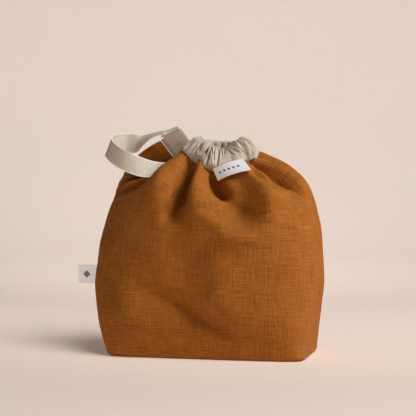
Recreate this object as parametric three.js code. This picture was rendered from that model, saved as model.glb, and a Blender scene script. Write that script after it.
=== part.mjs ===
import * as THREE from "three";

// Thicknesses and widths of the cloths, in millimetres
const LINEN_THICK = 1.6;
const TAPE_THICK = 1.3;
const TAPE_WIDTH = 25;
const TAPE_LIFT = 17.3;
const TAPE_LEAD = 2.5;
const LABEL_THICK = 1.0;
const LABEL_BOW = 3.2;
const LABEL_COLUMNS = 8;
const LABEL_ROWS = 4;
const TAG_WIDTH = 24;
const TAG_REACH = 32;
const TAG_LAYER = 1.0;
const TAG_SLOT = 0.4;
const TAG_ROOT = 0.6;
const TAG_EDGE = 0.55;
const TAG_HEIGHT = 85;
const SEAM_GAP = 0.3;

// The bag's own angles run from the left side seam round the front, the right and the back
const LEFT_FRONT = 180;
const RIGHT_SIDE = 360;
const LEFT_BACK = 540;
const SHOULDER_HEIGHT = 190;
const NECK_X = 14;
const NECK_Y = 8;
const SHOULDER_EASE = 0.06;
const SHOULDER_RISE = 0.8;
const SHOULDER_LEAD = 0.3;
const SHOULDER_TREND = 8;
const SEAM_BLEND = 18;
const FOLD_SPREAD = 0.8;
const FOLD_START = 0.5;
const FOLD_PEAK = 0.33;
const SWELL_CLEAR = 40;

// Small steps by which a surface is felt for its outward direction
const STEP_ALONG = 0.5;
const STEP_UP = 0.01;

// Gathers of the casing
const GATHER_COUNT = 24;
const GATHER_WANDER = 1.9;
const GATHER_DRIFTS = 3;
const GATHER_CHANGE = 0.28;
const GATHER_SWELLS = 7;
const GATHER_OUTSIDE = 0.4;
const GATHER_INSIDE = 2.6;

// How finely each cloth is divided
const PANEL_COLUMNS = 50;
const CORNER_SHARE = 0.12;
const CORNER_SPACING = 0.74;
const CORNER_CROWD = 0.45;
const CASING_STEPS = 96;
const CASING_START = 201;
const TAPE_JOIN_STEP = 68;
const TAPE_STEPS_LOOP = 60;
const BASE_SHARES = [0, 0.5];
const WALL_HEIGHTS = [0, 2.5, 9, 24, 46, 72, 98, 124, 148, 170];
const SHOULDER_SHARES = [0, 0.16, 0.32, 0.47, 0.61, 0.74, 0.87, 1];

// Plan of the filled body at each height
const BODY_RINGS = [
  { height: 0, halfWidth: 123.6, halfDepth: 64.5, squareness: 10, shiftX: 4.4, shiftY: 4, twist: 3.2 },
  { height: 3, halfWidth: 126.6, halfDepth: 68, squareness: 10, shiftX: 4.4, shiftY: 4, twist: 3.2 },
  { height: 10, halfWidth: 128.1, halfDepth: 70.5, squareness: 9, shiftX: 3.4, shiftY: 3.5, twist: 3 },
  { height: 31, halfWidth: 133.5, halfDepth: 74, squareness: 6.5, shiftX: 1, shiftY: 2.5, twist: 2.5 },
  { height: 63, halfWidth: 141, halfDepth: 78, squareness: 4, shiftX: -0.5, shiftY: 1.5, twist: 1.5 },
  { height: 95, halfWidth: 146, halfDepth: 80, squareness: 3, shiftX: -0.5, shiftY: 1, twist: 0.5 },
  { height: 135, halfWidth: 143, halfDepth: 80, squareness: 2.8, shiftX: 1, shiftY: 1, twist: 0 },
  { height: 165, halfWidth: 139, halfDepth: 78.5, squareness: 2.5, shiftX: 3, shiftY: 2, twist: 0 },
  { height: 190, halfWidth: 133.5, halfDepth: 75, squareness: 2.3, shiftX: 3.5, shiftY: 3, twist: 0 },
];

// The casing seam round the neck: place, inward lean of the casing, roundness of the shoulder, gather depth
const NECK = [
  { angle: 180, radius: 84, height: 226, lean: 0.6, bulge: 1.2, gather: 0 },
  { angle: 186, radius: 57, height: 222, lean: 0.65, bulge: 0.9, gather: 0 },
  { angle: 192, radius: 47, height: 247, lean: 0.7, bulge: 0.4, gather: 0.8 },
  { angle: 202, radius: 48, height: 253, lean: 0.74, bulge: 0.3, gather: 1.5 },
  { angle: 214, radius: 46, height: 251, lean: 0.69, bulge: 0.35, gather: 2 },
  { angle: 228, radius: 44, height: 246, lean: 0.62, bulge: 0.2, gather: 2.5 },
  { angle: 242, radius: 43, height: 248, lean: 0.7, bulge: 0.2, gather: 2.5 },
  { angle: 249, radius: 42, height: 240.5, lean: 0.58, bulge: 0.35, gather: 3.5 },
  { angle: 257, radius: 41.3, height: 236, lean: 0.46, bulge: 0.5, gather: 4 },
  { angle: 266, radius: 41, height: 235, lean: 0.42, bulge: 0.5, gather: 3.5 },
  { angle: 285, radius: 41, height: 236, lean: 0.62, bulge: 0.5, gather: 2 },
  { angle: 305, radius: 42, height: 241, lean: 0.72, bulge: 0.5, gather: 1.5 },
  { angle: 325, radius: 43, height: 245, lean: 0.65, bulge: 0.48, gather: 3 },
  { angle: 340, radius: 45, height: 246, lean: 0.55, bulge: 0.46, gather: 4 },
  { angle: 352, radius: 46, height: 247, lean: 0.62, bulge: 0.46, gather: 3 },
  { angle: 371, radius: 48, height: 256, lean: 0.85, bulge: 0.46, gather: 2 },
  { angle: 390, radius: 47, height: 249, lean: 0.6, bulge: 0.52, gather: 4 },
  { angle: 420, radius: 44, height: 241, lean: 0.35, bulge: 0.6, gather: 4.5 },
  { angle: 450, radius: 42, height: 239.5, lean: 0.3, bulge: 0.6, gather: 4.5 },
  { angle: 480, radius: 43, height: 240, lean: 0.3, bulge: 0.6, gather: 4 },
  { angle: 505, radius: 47, height: 241, lean: 0.42, bulge: 0.68, gather: 3.5 },
  { angle: 520, radius: 54, height: 243.5, lean: 0.64, bulge: 0.74, gather: 2 },
  { angle: 532, radius: 66, height: 248.5, lean: 0.82, bulge: 0.8, gather: 0.5 },
  { angle: 540, radius: 82, height: 271.5, lean: 0.88, bulge: 0.72, gather: 0 },
];

// Folds that run down from the gathered neck: ridges stand out, grooves go in, each with its own two slopes
const FOLDS = [
  { cloth: 180, neckAngle: 180, lowAngle: 180, left: 8, right: 8, depth: 2, reach: 110 },
  { cloth: 195, neckAngle: 189, lowAngle: 202, left: 10, right: 8, depth: -12, reach: 105 },
  { cloth: 217, neckAngle: 203, lowAngle: 229, left: 13, right: 14, depth: 14, reach: 120 },
  { cloth: 244, neckAngle: 235.5, lowAngle: 252, left: 11, right: 6, depth: -20, reach: 120 },
  { cloth: 255, neckAngle: 247, lowAngle: 264, left: 6, right: 10, depth: 11, reach: 105 },
  { cloth: 278, neckAngle: 265, lowAngle: 294, left: 8, right: 8, depth: -17, reach: 75 },
  { cloth: 303, neckAngle: 294, lowAngle: 311, left: 15, right: 12, depth: -6, reach: 110 },
  { cloth: 327, neckAngle: 314, lowAngle: 327, left: 9, right: 8, depth: 8, reach: 115 },
  { cloth: 340, neckAngle: 327, lowAngle: 340, left: 6, right: 6, depth: 4, reach: 90 },
  { cloth: 349, neckAngle: 337, lowAngle: 349.5, left: 7, right: 2.8, depth: -14, reach: 100 },
  { cloth: 354, neckAngle: 345.5, lowAngle: 354.3, left: 2.8, right: 6, depth: 9, reach: 90 },
  { cloth: 360, neckAngle: 360, lowAngle: 360, left: 8, right: 8, depth: 0, reach: 60 },
  { cloth: 368, neckAngle: 370, lowAngle: 367, left: 9, right: 9, depth: 5, reach: 90 },
  { cloth: 388, neckAngle: 390, lowAngle: 386, left: 8, right: 8, depth: -11, reach: 70 },
  { cloth: 407, neckAngle: 408, lowAngle: 405, left: 10, right: 10, depth: 7, reach: 80 },
  { cloth: 425, neckAngle: 424, lowAngle: 426, left: 7, right: 7, depth: -12, reach: 65 },
  { cloth: 442, neckAngle: 441, lowAngle: 444, left: 9, right: 9, depth: 8, reach: 75 },
  { cloth: 458, neckAngle: 458, lowAngle: 458, left: 7, right: 7, depth: -10, reach: 85 },
  { cloth: 473, neckAngle: 474, lowAngle: 472, left: 9, right: 9, depth: 8, reach: 65 },
  { cloth: 490, neckAngle: 491, lowAngle: 488, left: 7.5, right: 7.5, depth: -12, reach: 75 },
  { cloth: 506, neckAngle: 508, lowAngle: 504, left: 9, right: 9, depth: 7, reach: 85 },
  { cloth: 521, neckAngle: 522, lowAngle: 520, left: 6, right: 6, depth: -7, reach: 60 },
  { cloth: 540, neckAngle: 540, lowAngle: 540, left: 8, right: 8, depth: 0, reach: 60 },
];

// Levels up the casing: half thickness of its skin and hollow, and how far folds and gathers push it out
const CASING_LEVELS = [
  { high: 1, half: 1.25, hollowHigh: 3, hollowHalf: 0.3, seamShare: 1, foldShare: 0, gatherShare: 0 },
  { high: 4, half: 2.9, hollowHigh: 4.3, hollowHalf: 1.9, seamShare: 0, foldShare: 0.8, gatherShare: 0.3 },
  { high: 13, half: 2.9, hollowHigh: 13, hollowHalf: 1.9, seamShare: 0, foldShare: 0.5, gatherShare: 0.8 },
  { high: 23, half: 2.9, hollowHigh: 23, hollowHalf: 1.9, seamShare: 0, foldShare: 0.3, gatherShare: 1 },
  { high: 32, half: 1.9, hollowHigh: 31, hollowHalf: 1.1, seamShare: 0, foldShare: 0, gatherShare: 0.3 },
];

// Soft swells and hollows of the filled body
const SWELLS = [
  { angle: 270, height: 58, spanAngle: 13, spanHeight: 32, slant: -1.15, depth: -9 },
  { angle: 241, height: 40, spanAngle: 16, spanHeight: 22, slant: -0.5, depth: 5 },
  { angle: 223, height: 56, spanAngle: 7, spanHeight: 38, slant: -0.13, depth: 3.5 },
  { angle: 292, height: 100, spanAngle: 13, spanHeight: 40, slant: 0, depth: 5 },
  { angle: 262, height: 122, spanAngle: 14, spanHeight: 32, slant: 0, depth: -3 },
  { angle: 308, height: 188, spanAngle: 14, spanHeight: 19, slant: 0, depth: -15 },
  { angle: 306, height: 153, spanAngle: 18, spanHeight: 9, slant: 0, depth: 8.5 },
  { angle: 287, height: 170, spanAngle: 9, spanHeight: 12, slant: -1, depth: 4 },
  { angle: 326, height: 174, spanAngle: 7, spanHeight: 13, slant: 0.5, depth: 4 },
  { angle: 326, height: 194, spanAngle: 5.5, spanHeight: 18, slant: 0.1, depth: 5.5 },
  { angle: 184, height: 208, spanAngle: 10, spanHeight: 13, slant: 0, depth: 2.5 },
  { angle: 536, height: 208, spanAngle: 10, spanHeight: 13, slant: 0, depth: 2.5 },
  { angle: 318, height: 90, spanAngle: 14, spanHeight: 40, slant: 0.2, depth: -1.5 },
  { angle: 420, height: 80, spanAngle: 14, spanHeight: 50, slant: 0.3, depth: -3 },
  { angle: 470, height: 110, spanAngle: 16, spanHeight: 40, slant: -0.3, depth: -2.5 },
];

// The hand loop outside the casing: middle of the tape and the way its upper edge points
const LOOP = [
  { x: -65, y: 14, z: 282, upX: -0.27, upY: 0.95, upZ: 0.12 },
  { x: -84, y: 20, z: 277.5, upX: -0.27, upY: 0.94, upZ: 0.2 },
  { x: -97, y: 24, z: 271.5, upX: -0.24, upY: 0.83, upZ: 0.5 },
  { x: -109, y: 27.5, z: 267.5, upX: -0.06, upY: 0.25, upZ: 0.96 },
  { x: -121.5, y: 26, z: 268, upX: 0.08, upY: 0.1, upZ: 0.99 },
  { x: -131, y: 13, z: 267.5, upX: 0.16, upY: 0.16, upZ: 0.97 },
  { x: -133.5, y: -5, z: 265, upX: 0.26, upY: 0.3, upZ: 0.92 },
  { x: -125.5, y: -20.5, z: 258, upX: 0.2, upY: 0.1, upZ: 0.97 },
  { x: -109, y: -29, z: 248, upX: 0.16, upY: 0.08, upZ: 0.98 },
  { x: -91.5, y: -27.5, z: 240.5, upX: 0.1, upY: 0.18, upZ: 0.98 },
  { x: -76, y: -17, z: 235, upX: 0.08, upY: 0.55, upZ: 0.83 },
  { x: -62, y: -5, z: 234, upX: 0.1, upY: 0.7, upZ: 0.7 },
  { x: -50, y: 4, z: 235.5, upX: 0.15, upY: 0.6, upZ: 0.78 },
  { x: -38, y: 10, z: 241, upX: 0.35, upY: 0.22, upZ: 0.91 },
  { x: -27, y: 9, z: 249.5, upX: 0.55, upY: 0.15, upZ: 0.82 },
];

// Corners of the label: upper left and right, lower left and right
const LABEL_CORNERS = [
  { x: 14, y: -32.3, z: 235 },
  { x: 51, y: -25.4, z: 248.2 },
  { x: 23.4, y: -42.5, z: 221.5 },
  { x: 66.5, y: -43, z: 235.2 },
];

// Eases from 0 to 1
function ease(share) {
  const held = Math.min(Math.max(share, 0), 1);
  return held * held * (3 - 2 * held);
}

// Smooth reading of one column of a table at a place along another
function readTable(rows, key, place, column) {
  let index = 0;
  while (index < rows.length - 2 && place > rows[index + 1][key]) {
    index += 1;
  }
  const slope = (at) => {
    const before = rows[Math.max(at - 1, 0)];
    const after = rows[Math.min(at + 1, rows.length - 1)];
    return (after[column] - before[column]) / (after[key] - before[key]);
  };
  const start = rows[index];
  const end = rows[index + 1];
  const length = end[key] - start[key];
  const share = Math.min(Math.max((place - start[key]) / length, 0), 1);
  const rise = share * share * (3 - 2 * share);
  const leave = share * (1 - share) * (1 - share) * length * slope(index);
  const arrive = share * share * (share - 1) * length * slope(index + 1);
  return start[column] + (end[column] - start[column]) * rise + leave + arrive;
}

function ringPoint(angle, height) {
  const ring = (column) => readTable(BODY_RINGS, "height", height, column);
  const turn = THREE.MathUtils.degToRad(angle);
  const power = ring("squareness");
  const wide = Math.abs(Math.cos(turn) / ring("halfWidth")) ** power;
  const deep = Math.abs(Math.sin(turn) / ring("halfDepth")) ** power;
  const radius = (wide + deep) ** (-1 / power);
  const way = turn + THREE.MathUtils.degToRad(ring("twist"));
  const x = ring("shiftX") + radius * Math.cos(way);
  const y = ring("shiftY") + radius * Math.sin(way);
  return new THREE.Vector3(x, y, height);
}

function neckPoint(angle) {
  const turn = THREE.MathUtils.degToRad(angle);
  const radius = readTable(NECK, "angle", angle, "radius");
  const height = readTable(NECK, "angle", angle, "height");
  return new THREE.Vector3(NECK_X + radius * Math.cos(turn), NECK_Y + radius * Math.sin(turn), height);
}

// The casing's own directions at an angle: up its height, along the neck and outward
function neckFrame(angle) {
  const turn = THREE.MathUtils.degToRad(angle);
  const lean = readTable(NECK, "angle", angle, "lean");
  const up = new THREE.Vector3(-Math.cos(turn) * lean, -Math.sin(turn) * lean, Math.sqrt(1 - lean * lean));
  const from = neckPoint(Math.max(angle - 1, LEFT_FRONT));
  const along = neckPoint(Math.min(angle + 1, LEFT_BACK)).sub(from).normalize();
  const out = along.clone().cross(up).normalize();
  return { up, along, out };
}

// Angle about the bag of a place along the cloth, at the neck or on the body
function clothAngle(cloth, column) {
  return readTable(FOLDS, "cloth", cloth, column);
}

function foldOffset(cloth, drop) {
  let offset = 0;
  for (const fold of FOLDS) {
    const share = Math.min(drop / fold.reach, 1);
    const slope = cloth < fold.cloth ? fold.left : fold.right;
    const width = slope * (1 + FOLD_SPREAD * share);
    const growth = FOLD_START + (1 - FOLD_START) * ease(share / FOLD_PEAK);
    const fade = 1 - ease((share - FOLD_PEAK) / (1 - FOLD_PEAK));
    const away = (cloth - fold.cloth) / width;
    offset += fold.depth * growth * fade * Math.exp(-away * away);
  }
  return offset;
}

function swellOffset(angle, height) {
  let offset = 0;
  for (const swell of SWELLS) {
    const above = height - swell.height;
    const aside = (angle - swell.angle - swell.slant * above) / swell.spanAngle;
    const share = above / swell.spanHeight;
    offset += swell.depth * Math.exp(-aside * aside - share * share);
  }
  return offset * ease(height / SWELL_CLEAR);
}

// Unfolded body; level runs 0 to 1 up to the shoulder and 1 to 2 from there to the casing seam
function plainPoint(cloth, level) {
  const lowAngle = clothAngle(cloth, "lowAngle");
  if (level <= 1) {
    return ringPoint(lowAngle, level * SHOULDER_HEIGHT);
  }
  const share = level - 1;
  const neckAngle = clothAngle(cloth, "neckAngle");
  const low = ringPoint(lowAngle, SHOULDER_HEIGHT);
  const high = neckPoint(neckAngle);
  const corner = low.clone().lerp(high, SHOULDER_EASE);
  corner.z = low.z + (high.z - low.z) * SHOULDER_RISE;
  const bulge = readTable(NECK, "angle", neckAngle, "bulge");
  const bend = low.clone().lerp(high, 0.5).lerp(corner, bulge);
  const lead = low.clone().sub(ringPoint(lowAngle, SHOULDER_HEIGHT - SHOULDER_TREND));
  lead.multiplyScalar((SHOULDER_LEAD * (high.z - low.z)) / SHOULDER_TREND).add(low);
  return new THREE.CubicBezierCurve3(low, lead, bend, high).getPoint(share);
}

// Outward direction of a surface given by cloth place and level
function surfaceNormal(surface, cloth, level) {
  const left = surface(Math.max(cloth - STEP_ALONG, LEFT_FRONT), level);
  const right = surface(Math.min(cloth + STEP_ALONG, LEFT_BACK), level);
  const below = surface(cloth, Math.max(level - STEP_UP, 0));
  const above = surface(cloth, Math.min(level + STEP_UP, 2));
  return right.sub(left).cross(above.sub(below)).normalize();
}

// Distance down the cloth from the casing seam
function dropFromSeam(cloth, level) {
  const slant = plainPoint(cloth, 1).distanceTo(plainPoint(cloth, 2));
  if (level > 1) {
    return (2 - level) * slant;
  }
  return slant + (1 - level) * SHOULDER_HEIGHT;
}

function bodyPoint(cloth, level) {
  const drop = dropFromSeam(cloth, level);
  const point = plainPoint(cloth, level);
  const offset = foldOffset(cloth, drop) + swellOffset(clothAngle(cloth, "lowAngle"), point.z);
  const across = surfaceNormal(plainPoint, cloth, level);
  const seamOut = neckFrame(clothAngle(cloth, "neckAngle")).out;
  const out = seamOut.lerp(across, ease(drop / SEAM_BLEND)).normalize();
  return point.addScaledVector(out, offset);
}

// Closed sheet between two grids of points that lie a thickness apart
function sheetBetween(outer, inner) {
  const rows = outer.length;
  const columns = outer[0].length;
  const positions = [];
  const faces = [];
  for (const grid of [outer, inner]) {
    for (const row of grid) {
      for (const point of row) {
        positions.push(point.x, point.y, point.z);
      }
    }
  }
  const front = (row, column) => row * columns + column;
  const back = (row, column) => rows * columns + row * columns + column;
  const quad = (a, b, c, d) => faces.push(a, b, c, a, c, d);
  for (let row = 0; row < rows - 1; row += 1) {
    for (let column = 0; column < columns - 1; column += 1) {
      quad(front(row, column), front(row, column + 1), front(row + 1, column + 1), front(row + 1, column));
      quad(back(row, column), back(row + 1, column), back(row + 1, column + 1), back(row, column + 1));
    }
    const last = columns - 1;
    quad(front(row, 0), front(row + 1, 0), back(row + 1, 0), back(row, 0));
    quad(front(row + 1, last), front(row, last), back(row, last), back(row + 1, last));
  }
  for (let column = 0; column < columns - 1; column += 1) {
    const last = rows - 1;
    quad(front(0, column + 1), front(0, column), back(0, column), back(0, column + 1));
    quad(front(last, column), front(last, column + 1), back(last, column + 1), back(last, column));
  }
  return geometryFrom(positions, faces);
}

// Closed solid swept through a list of equal loops of points; the loops are joined at both ends by caps
function sweepLoops(loops, capFaces) {
  const size = loops[0].length;
  const positions = [];
  const faces = [];
  for (const loop of loops) {
    for (const point of loop) {
      positions.push(point.x, point.y, point.z);
    }
  }
  capFaces(faces, (step, index) => step * size + index);
  return geometryFrom(positions, faces);
}

function geometryFrom(positions, faces) {
  const geometry = new THREE.BufferGeometry();
  geometry.setAttribute("position", new THREE.Float32BufferAttribute(positions, 3));
  geometry.setIndex(faces);
  geometry.computeVertexNormals();
  return geometry;
}

// Share along a panel, with places closer together at its two boxed corners
function crowdedShare(share) {
  const turn = (2 * Math.PI) / CORNER_SPACING;
  const crowd = (at) => at - (CORNER_CROWD * Math.sin(turn * (at - CORNER_SHARE))) / turn;
  return (crowd(share) - crowd(0)) / (crowd(1) - crowd(0));
}

// One body panel: from the seam along the middle of the base, under the edge and up to the casing seam
function panelGeometry(startAngle, endAngle, seamSide) {
  const levels = WALL_HEIGHTS.map((height) => height / SHOULDER_HEIGHT);
  SHOULDER_SHARES.forEach((share) => levels.push(1 + share));
  const outer = [];
  const inner = [];
  const angles = [];
  for (let column = 0; column <= PANEL_COLUMNS; column += 1) {
    angles.push(startAngle + (endAngle - startAngle) * crowdedShare(column / PANEL_COLUMNS));
  }
  const rim = angles.map((angle) => bodyPoint(angle, 0));
  for (const share of BASE_SHARES) {
    const row = rim.map((point, column) => {
      const middle = rim[0].clone().lerp(rim[PANEL_COLUMNS], column / PANEL_COLUMNS);
      middle.y += (seamSide * SEAM_GAP) / 2;
      return middle.lerp(point, share);
    });
    outer.push(row);
    inner.push(row.map((point) => point.clone().setZ(LINEN_THICK)));
  }
  for (const level of levels) {
    const row = angles.map((angle) => bodyPoint(angle, level));
    const within = angles.map((angle, column) => {
      const normal = level === 0 ? new THREE.Vector3(0, 0, -1) : surfaceNormal(bodyPoint, angle, level);
      return row[column].clone().addScaledVector(normal, -LINEN_THICK);
    });
    outer.push(row);
    inner.push(within);
  }
  for (const grid of [outer, inner]) {
    for (const row of grid) {
      easeEdge(row, 0, 1);
      easeEdge(row, PANEL_COLUMNS, PANEL_COLUMNS - 1);
    }
  }
  return sheetBetween(outer, inner);
}

// Moves the edge of a row in by half the seam gap
function easeEdge(row, edge, next) {
  const inward = row[next].clone().sub(row[edge]).normalize();
  row[edge].addScaledVector(inward, SEAM_GAP / 2);
}

// Uneven gathers of the casing round the neck
function gatherAt(angle, phase) {
  const turn = THREE.MathUtils.degToRad(angle);
  const wander = GATHER_WANDER * Math.sin(GATHER_DRIFTS * turn + phase);
  const wave = Math.sin(GATHER_COUNT * turn + wander + phase);
  const change = 1 - GATHER_CHANGE + GATHER_CHANGE * Math.sin(GATHER_SWELLS * turn + 2 * phase);
  return readTable(NECK, "angle", angle, "gather") * change * (0.5 + 0.5 * wave);
}

// Cross-section of the casing tunnel: its skin and the hollow for the tape, both from the seam up and over
function casingLoops(cloth) {
  const angle = clothAngle(cloth, "neckAngle");
  const seam = neckPoint(angle);
  const { up, out } = neckFrame(angle);
  const fold = foldOffset(cloth, 0);
  const place = (aside, high) => seam.clone().addScaledVector(out, aside).addScaledVector(up, high);
  const side = (level, way, gather) => {
    const push = way * Math.max(way * fold, 0) * level.foldShare;
    const edge = fold * level.seamShare + push + way * gather * level.gatherShare;
    const skin = place(edge + way * level.half, level.high);
    const hollow = place(edge + way * level.hollowHalf, level.hollowHigh);
    return { skin, hollow };
  };
  const outside = gatherAt(angle, GATHER_OUTSIDE);
  const inside = gatherAt(angle, GATHER_INSIDE);
  const outer = CASING_LEVELS.map((level) => side(level, 1, outside));
  const inner = CASING_LEVELS.map((level) => side(level, -1, inside));
  const round = [...outer, ...inner.reverse()];
  return { skin: round.map((pair) => pair.skin), hollow: round.map((pair) => pair.hollow) };
}

// Place along the cloth of each step round the casing
function casingPlace(step) {
  return CASING_START + ((LEFT_BACK - CASING_START) * step) / CASING_STEPS;
}

function casingGeometry() {
  const loops = [];
  let size = 0;
  for (let step = 0; step <= CASING_STEPS; step += 1) {
    const { skin, hollow } = casingLoops(casingPlace(step));
    size = skin.length;
    loops.push([...skin, ...hollow]);
  }
  return sweepLoops(loops, (faces, at) => {
    const quad = (a, b, c, d) => faces.push(a, b, c, a, c, d);
    for (let index = 0; index < size; index += 1) {
      const next = (index + 1) % size;
      for (let step = 0; step < CASING_STEPS; step += 1) {
        quad(at(step, index), at(step + 1, index), at(step + 1, next), at(step, next));
        const hollow = size + index;
        const hollowNext = size + next;
        quad(at(step, hollow), at(step, hollowNext), at(step + 1, hollowNext), at(step + 1, hollow));
      }
      quad(at(0, index), at(0, next), at(0, size + next), at(0, size + index));
      const last = CASING_STEPS;
      quad(at(last, next), at(last, index), at(last, size + index), at(last, size + next));
    }
  });
}

// Middle line of the tape with the direction across its width
function tapeStations() {
  const stations = [];
  const inside = (step) => {
    const angle = clothAngle(casingPlace(step), "neckAngle");
    const { up, out } = neckFrame(angle);
    stations.push({ middle: neckPoint(angle).addScaledVector(up, TAPE_LIFT), up, out });
  };
  for (let step = TAPE_JOIN_STEP + 1; step <= CASING_STEPS; step += 1) {
    inside(step);
  }
  const leave = stations[stations.length - 1];
  const leaveLead = leave.middle.clone().addScaledVector(neckFrame(LEFT_BACK).along, TAPE_LEAD);
  const frontAngle = clothAngle(CASING_START, "neckAngle");
  const front = neckFrame(frontAngle);
  const arrive = neckPoint(frontAngle).addScaledVector(front.up, TAPE_LIFT);
  const arriveLead = arrive.clone().addScaledVector(front.along, -TAPE_LEAD);
  const loopMiddles = LOOP.map((row) => new THREE.Vector3(row.x, row.y, row.z));
  const loopUps = LOOP.map((row) => new THREE.Vector3(row.upX, row.upY, row.upZ));
  const middles = [leave.middle, leaveLead, ...loopMiddles, arriveLead, arrive];
  const ups = [leave.up, leave.up, ...loopUps, front.up, front.up];
  const route = new THREE.CatmullRomCurve3(middles);
  const across = new THREE.CatmullRomCurve3(ups);
  for (let step = 1; step < TAPE_STEPS_LOOP; step += 1) {
    const share = step / TAPE_STEPS_LOOP;
    stations.push({ middle: route.getPoint(share), up: across.getPoint(share).normalize() });
  }
  for (let step = 0; step < TAPE_JOIN_STEP; step += 1) {
    inside(step);
  }
  return stations;
}

function tapeGeometry() {
  const stations = tapeStations();
  const faceOut = [];
  const faceIn = [];
  stations.forEach(({ middle, up, out }, index) => {
    const before = stations[Math.max(index - 1, 0)].middle;
    const after = stations[Math.min(index + 1, stations.length - 1)].middle;
    const across = out ?? after.clone().sub(before).cross(up).normalize();
    const rowOut = [];
    const rowIn = [];
    for (const edge of [-TAPE_WIDTH / 2, TAPE_WIDTH / 2]) {
      const point = middle.clone().addScaledVector(up, edge);
      rowOut.push(point.clone().addScaledVector(across, TAPE_THICK / 2));
      rowIn.push(point.clone().addScaledVector(across, -TAPE_THICK / 2));
    }
    faceOut.push(rowOut);
    faceIn.push(rowIn);
  });
  return sheetBetween(faceIn, faceOut);
}

// Label that hangs from the casing seam over the front
function labelGeometry() {
  const corners = LABEL_CORNERS.map(({ x, y, z }) => new THREE.Vector3(x, y, z));
  const [topLeft, topRight, lowLeft, lowRight] = corners;
  const outer = [];
  const inner = [];
  for (let row = 0; row <= LABEL_ROWS; row += 1) {
    const left = topLeft.clone().lerp(lowLeft, row / LABEL_ROWS);
    const right = topRight.clone().lerp(lowRight, row / LABEL_ROWS);
    const across = right.clone().sub(left).normalize();
    const down = lowLeft.clone().sub(topLeft).normalize();
    const out = down.clone().cross(across).normalize();
    const outerRow = [];
    const innerRow = [];
    for (let column = 0; column <= LABEL_COLUMNS; column += 1) {
      const share = column / LABEL_COLUMNS;
      const point = left.clone().lerp(right, share);
      point.addScaledVector(out, LABEL_BOW * Math.sin(Math.PI * share));
      outerRow.push(point.clone().addScaledVector(out, LABEL_THICK));
      innerRow.push(point);
    }
    outer.push(outerRow);
    inner.push(innerRow);
  }
  return sheetBetween(inner, outer);
}

// Folded tag that stands out of the left side seam
function tagGeometry() {
  const half = TAG_SLOT / 2 + TAG_LAYER;
  const shape = new THREE.Shape([
    new THREE.Vector2(-TAG_ROOT, half),
    new THREE.Vector2(-TAG_ROOT, TAG_SLOT / 2),
    new THREE.Vector2(-TAG_REACH + TAG_LAYER, TAG_SLOT / 2),
    new THREE.Vector2(-TAG_REACH + TAG_LAYER, -TAG_SLOT / 2),
    new THREE.Vector2(-TAG_ROOT, -TAG_SLOT / 2),
    new THREE.Vector2(-TAG_ROOT, -half),
    new THREE.Vector2(-TAG_REACH + TAG_EDGE, -half),
    new THREE.Vector2(-TAG_REACH, -half + TAG_EDGE),
    new THREE.Vector2(-TAG_REACH, half - TAG_EDGE),
    new THREE.Vector2(-TAG_REACH + TAG_EDGE, half),
  ]);
  const geometry = new THREE.ExtrudeGeometry(shape, { depth: TAG_WIDTH, bevelEnabled: false });
  const seam = bodyPoint(LEFT_FRONT, (TAG_HEIGHT + TAG_WIDTH / 2) / SHOULDER_HEIGHT);
  geometry.translate(seam.x, seam.y, TAG_HEIGHT);
  return geometry;
}

function addPiece(group, name, geometry, finish) {
  const { colour, roughness } = finish;
  const material = new THREE.MeshStandardMaterial({ color: colour, roughness, metalness: 0 });
  const mesh = new THREE.Mesh(geometry, material);
  mesh.name = name;
  group.add(mesh);
}

const RUST = { colour: 0xa4611f, roughness: 0.9 };
const NATURAL = { colour: 0xcdc0ae, roughness: 0.9 };
const COTTON = { colour: 0xd8cdbd, roughness: 0.85 };
const WHITE = { colour: 0xf0efec, roughness: 0.8 };

const bag = new THREE.Group();
bag.name = "project_bag";
addPiece(bag, "front_panel", panelGeometry(LEFT_FRONT, RIGHT_SIDE, -1), RUST);
addPiece(bag, "back_panel", panelGeometry(RIGHT_SIDE, LEFT_BACK, 1), RUST);
addPiece(bag, "casing", casingGeometry(), NATURAL);
addPiece(bag, "tape", tapeGeometry(), COTTON);
addPiece(bag, "label", labelGeometry(), WHITE);
addPiece(bag, "side_tag", tagGeometry(), WHITE);

export default bag;
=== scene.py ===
"""Dresses the drawstring project bag in linen, cotton tape, label cloth and thread.

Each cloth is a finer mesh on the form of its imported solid, in the same frame. The bag's sizes are in
millimetres until a mesh is made, where they become metres. The studio's sizes are in metres.
"""

import logging
import math
from dataclasses import dataclass, field
from enum import Enum
from functools import cache
from typing import NamedTuple, Sequence

import bpy
import numpy as np
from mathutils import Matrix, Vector, noise


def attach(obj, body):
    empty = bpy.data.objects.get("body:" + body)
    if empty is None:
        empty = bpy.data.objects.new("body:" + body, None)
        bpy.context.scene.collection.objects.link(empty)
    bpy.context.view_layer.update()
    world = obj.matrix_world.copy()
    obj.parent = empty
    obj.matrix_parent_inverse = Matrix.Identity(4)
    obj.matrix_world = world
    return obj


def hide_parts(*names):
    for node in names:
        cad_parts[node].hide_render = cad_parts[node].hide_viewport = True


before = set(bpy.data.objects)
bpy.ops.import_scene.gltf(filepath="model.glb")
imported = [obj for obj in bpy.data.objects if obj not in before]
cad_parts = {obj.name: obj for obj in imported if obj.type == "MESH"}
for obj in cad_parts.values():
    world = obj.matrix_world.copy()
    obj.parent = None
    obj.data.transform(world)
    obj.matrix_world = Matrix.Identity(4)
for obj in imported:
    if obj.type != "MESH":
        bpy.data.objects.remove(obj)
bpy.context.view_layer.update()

LOG = logging.getLogger("project_bag")
Array = np.ndarray
Colour = tuple[float, float, float]
Material = bpy.types.Material
Piece = bpy.types.Object
Socket = bpy.types.NodeSocket

MM = 0.001
BODY = "root"
CLOTH_MAP = "cloth"

LEFT_FRONT = 180.0
RIGHT_SIDE = 360.0
LEFT_BACK = 540.0

SHARP_ANGLE = 60.0
TINY = 1e-12
TINY_GAP = 1e-4
NOISE_MIDDLE = 0.5
CLOTH_GLOSS = 0.2
SHEEN_ROUGHNESS = 0.6

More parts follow.
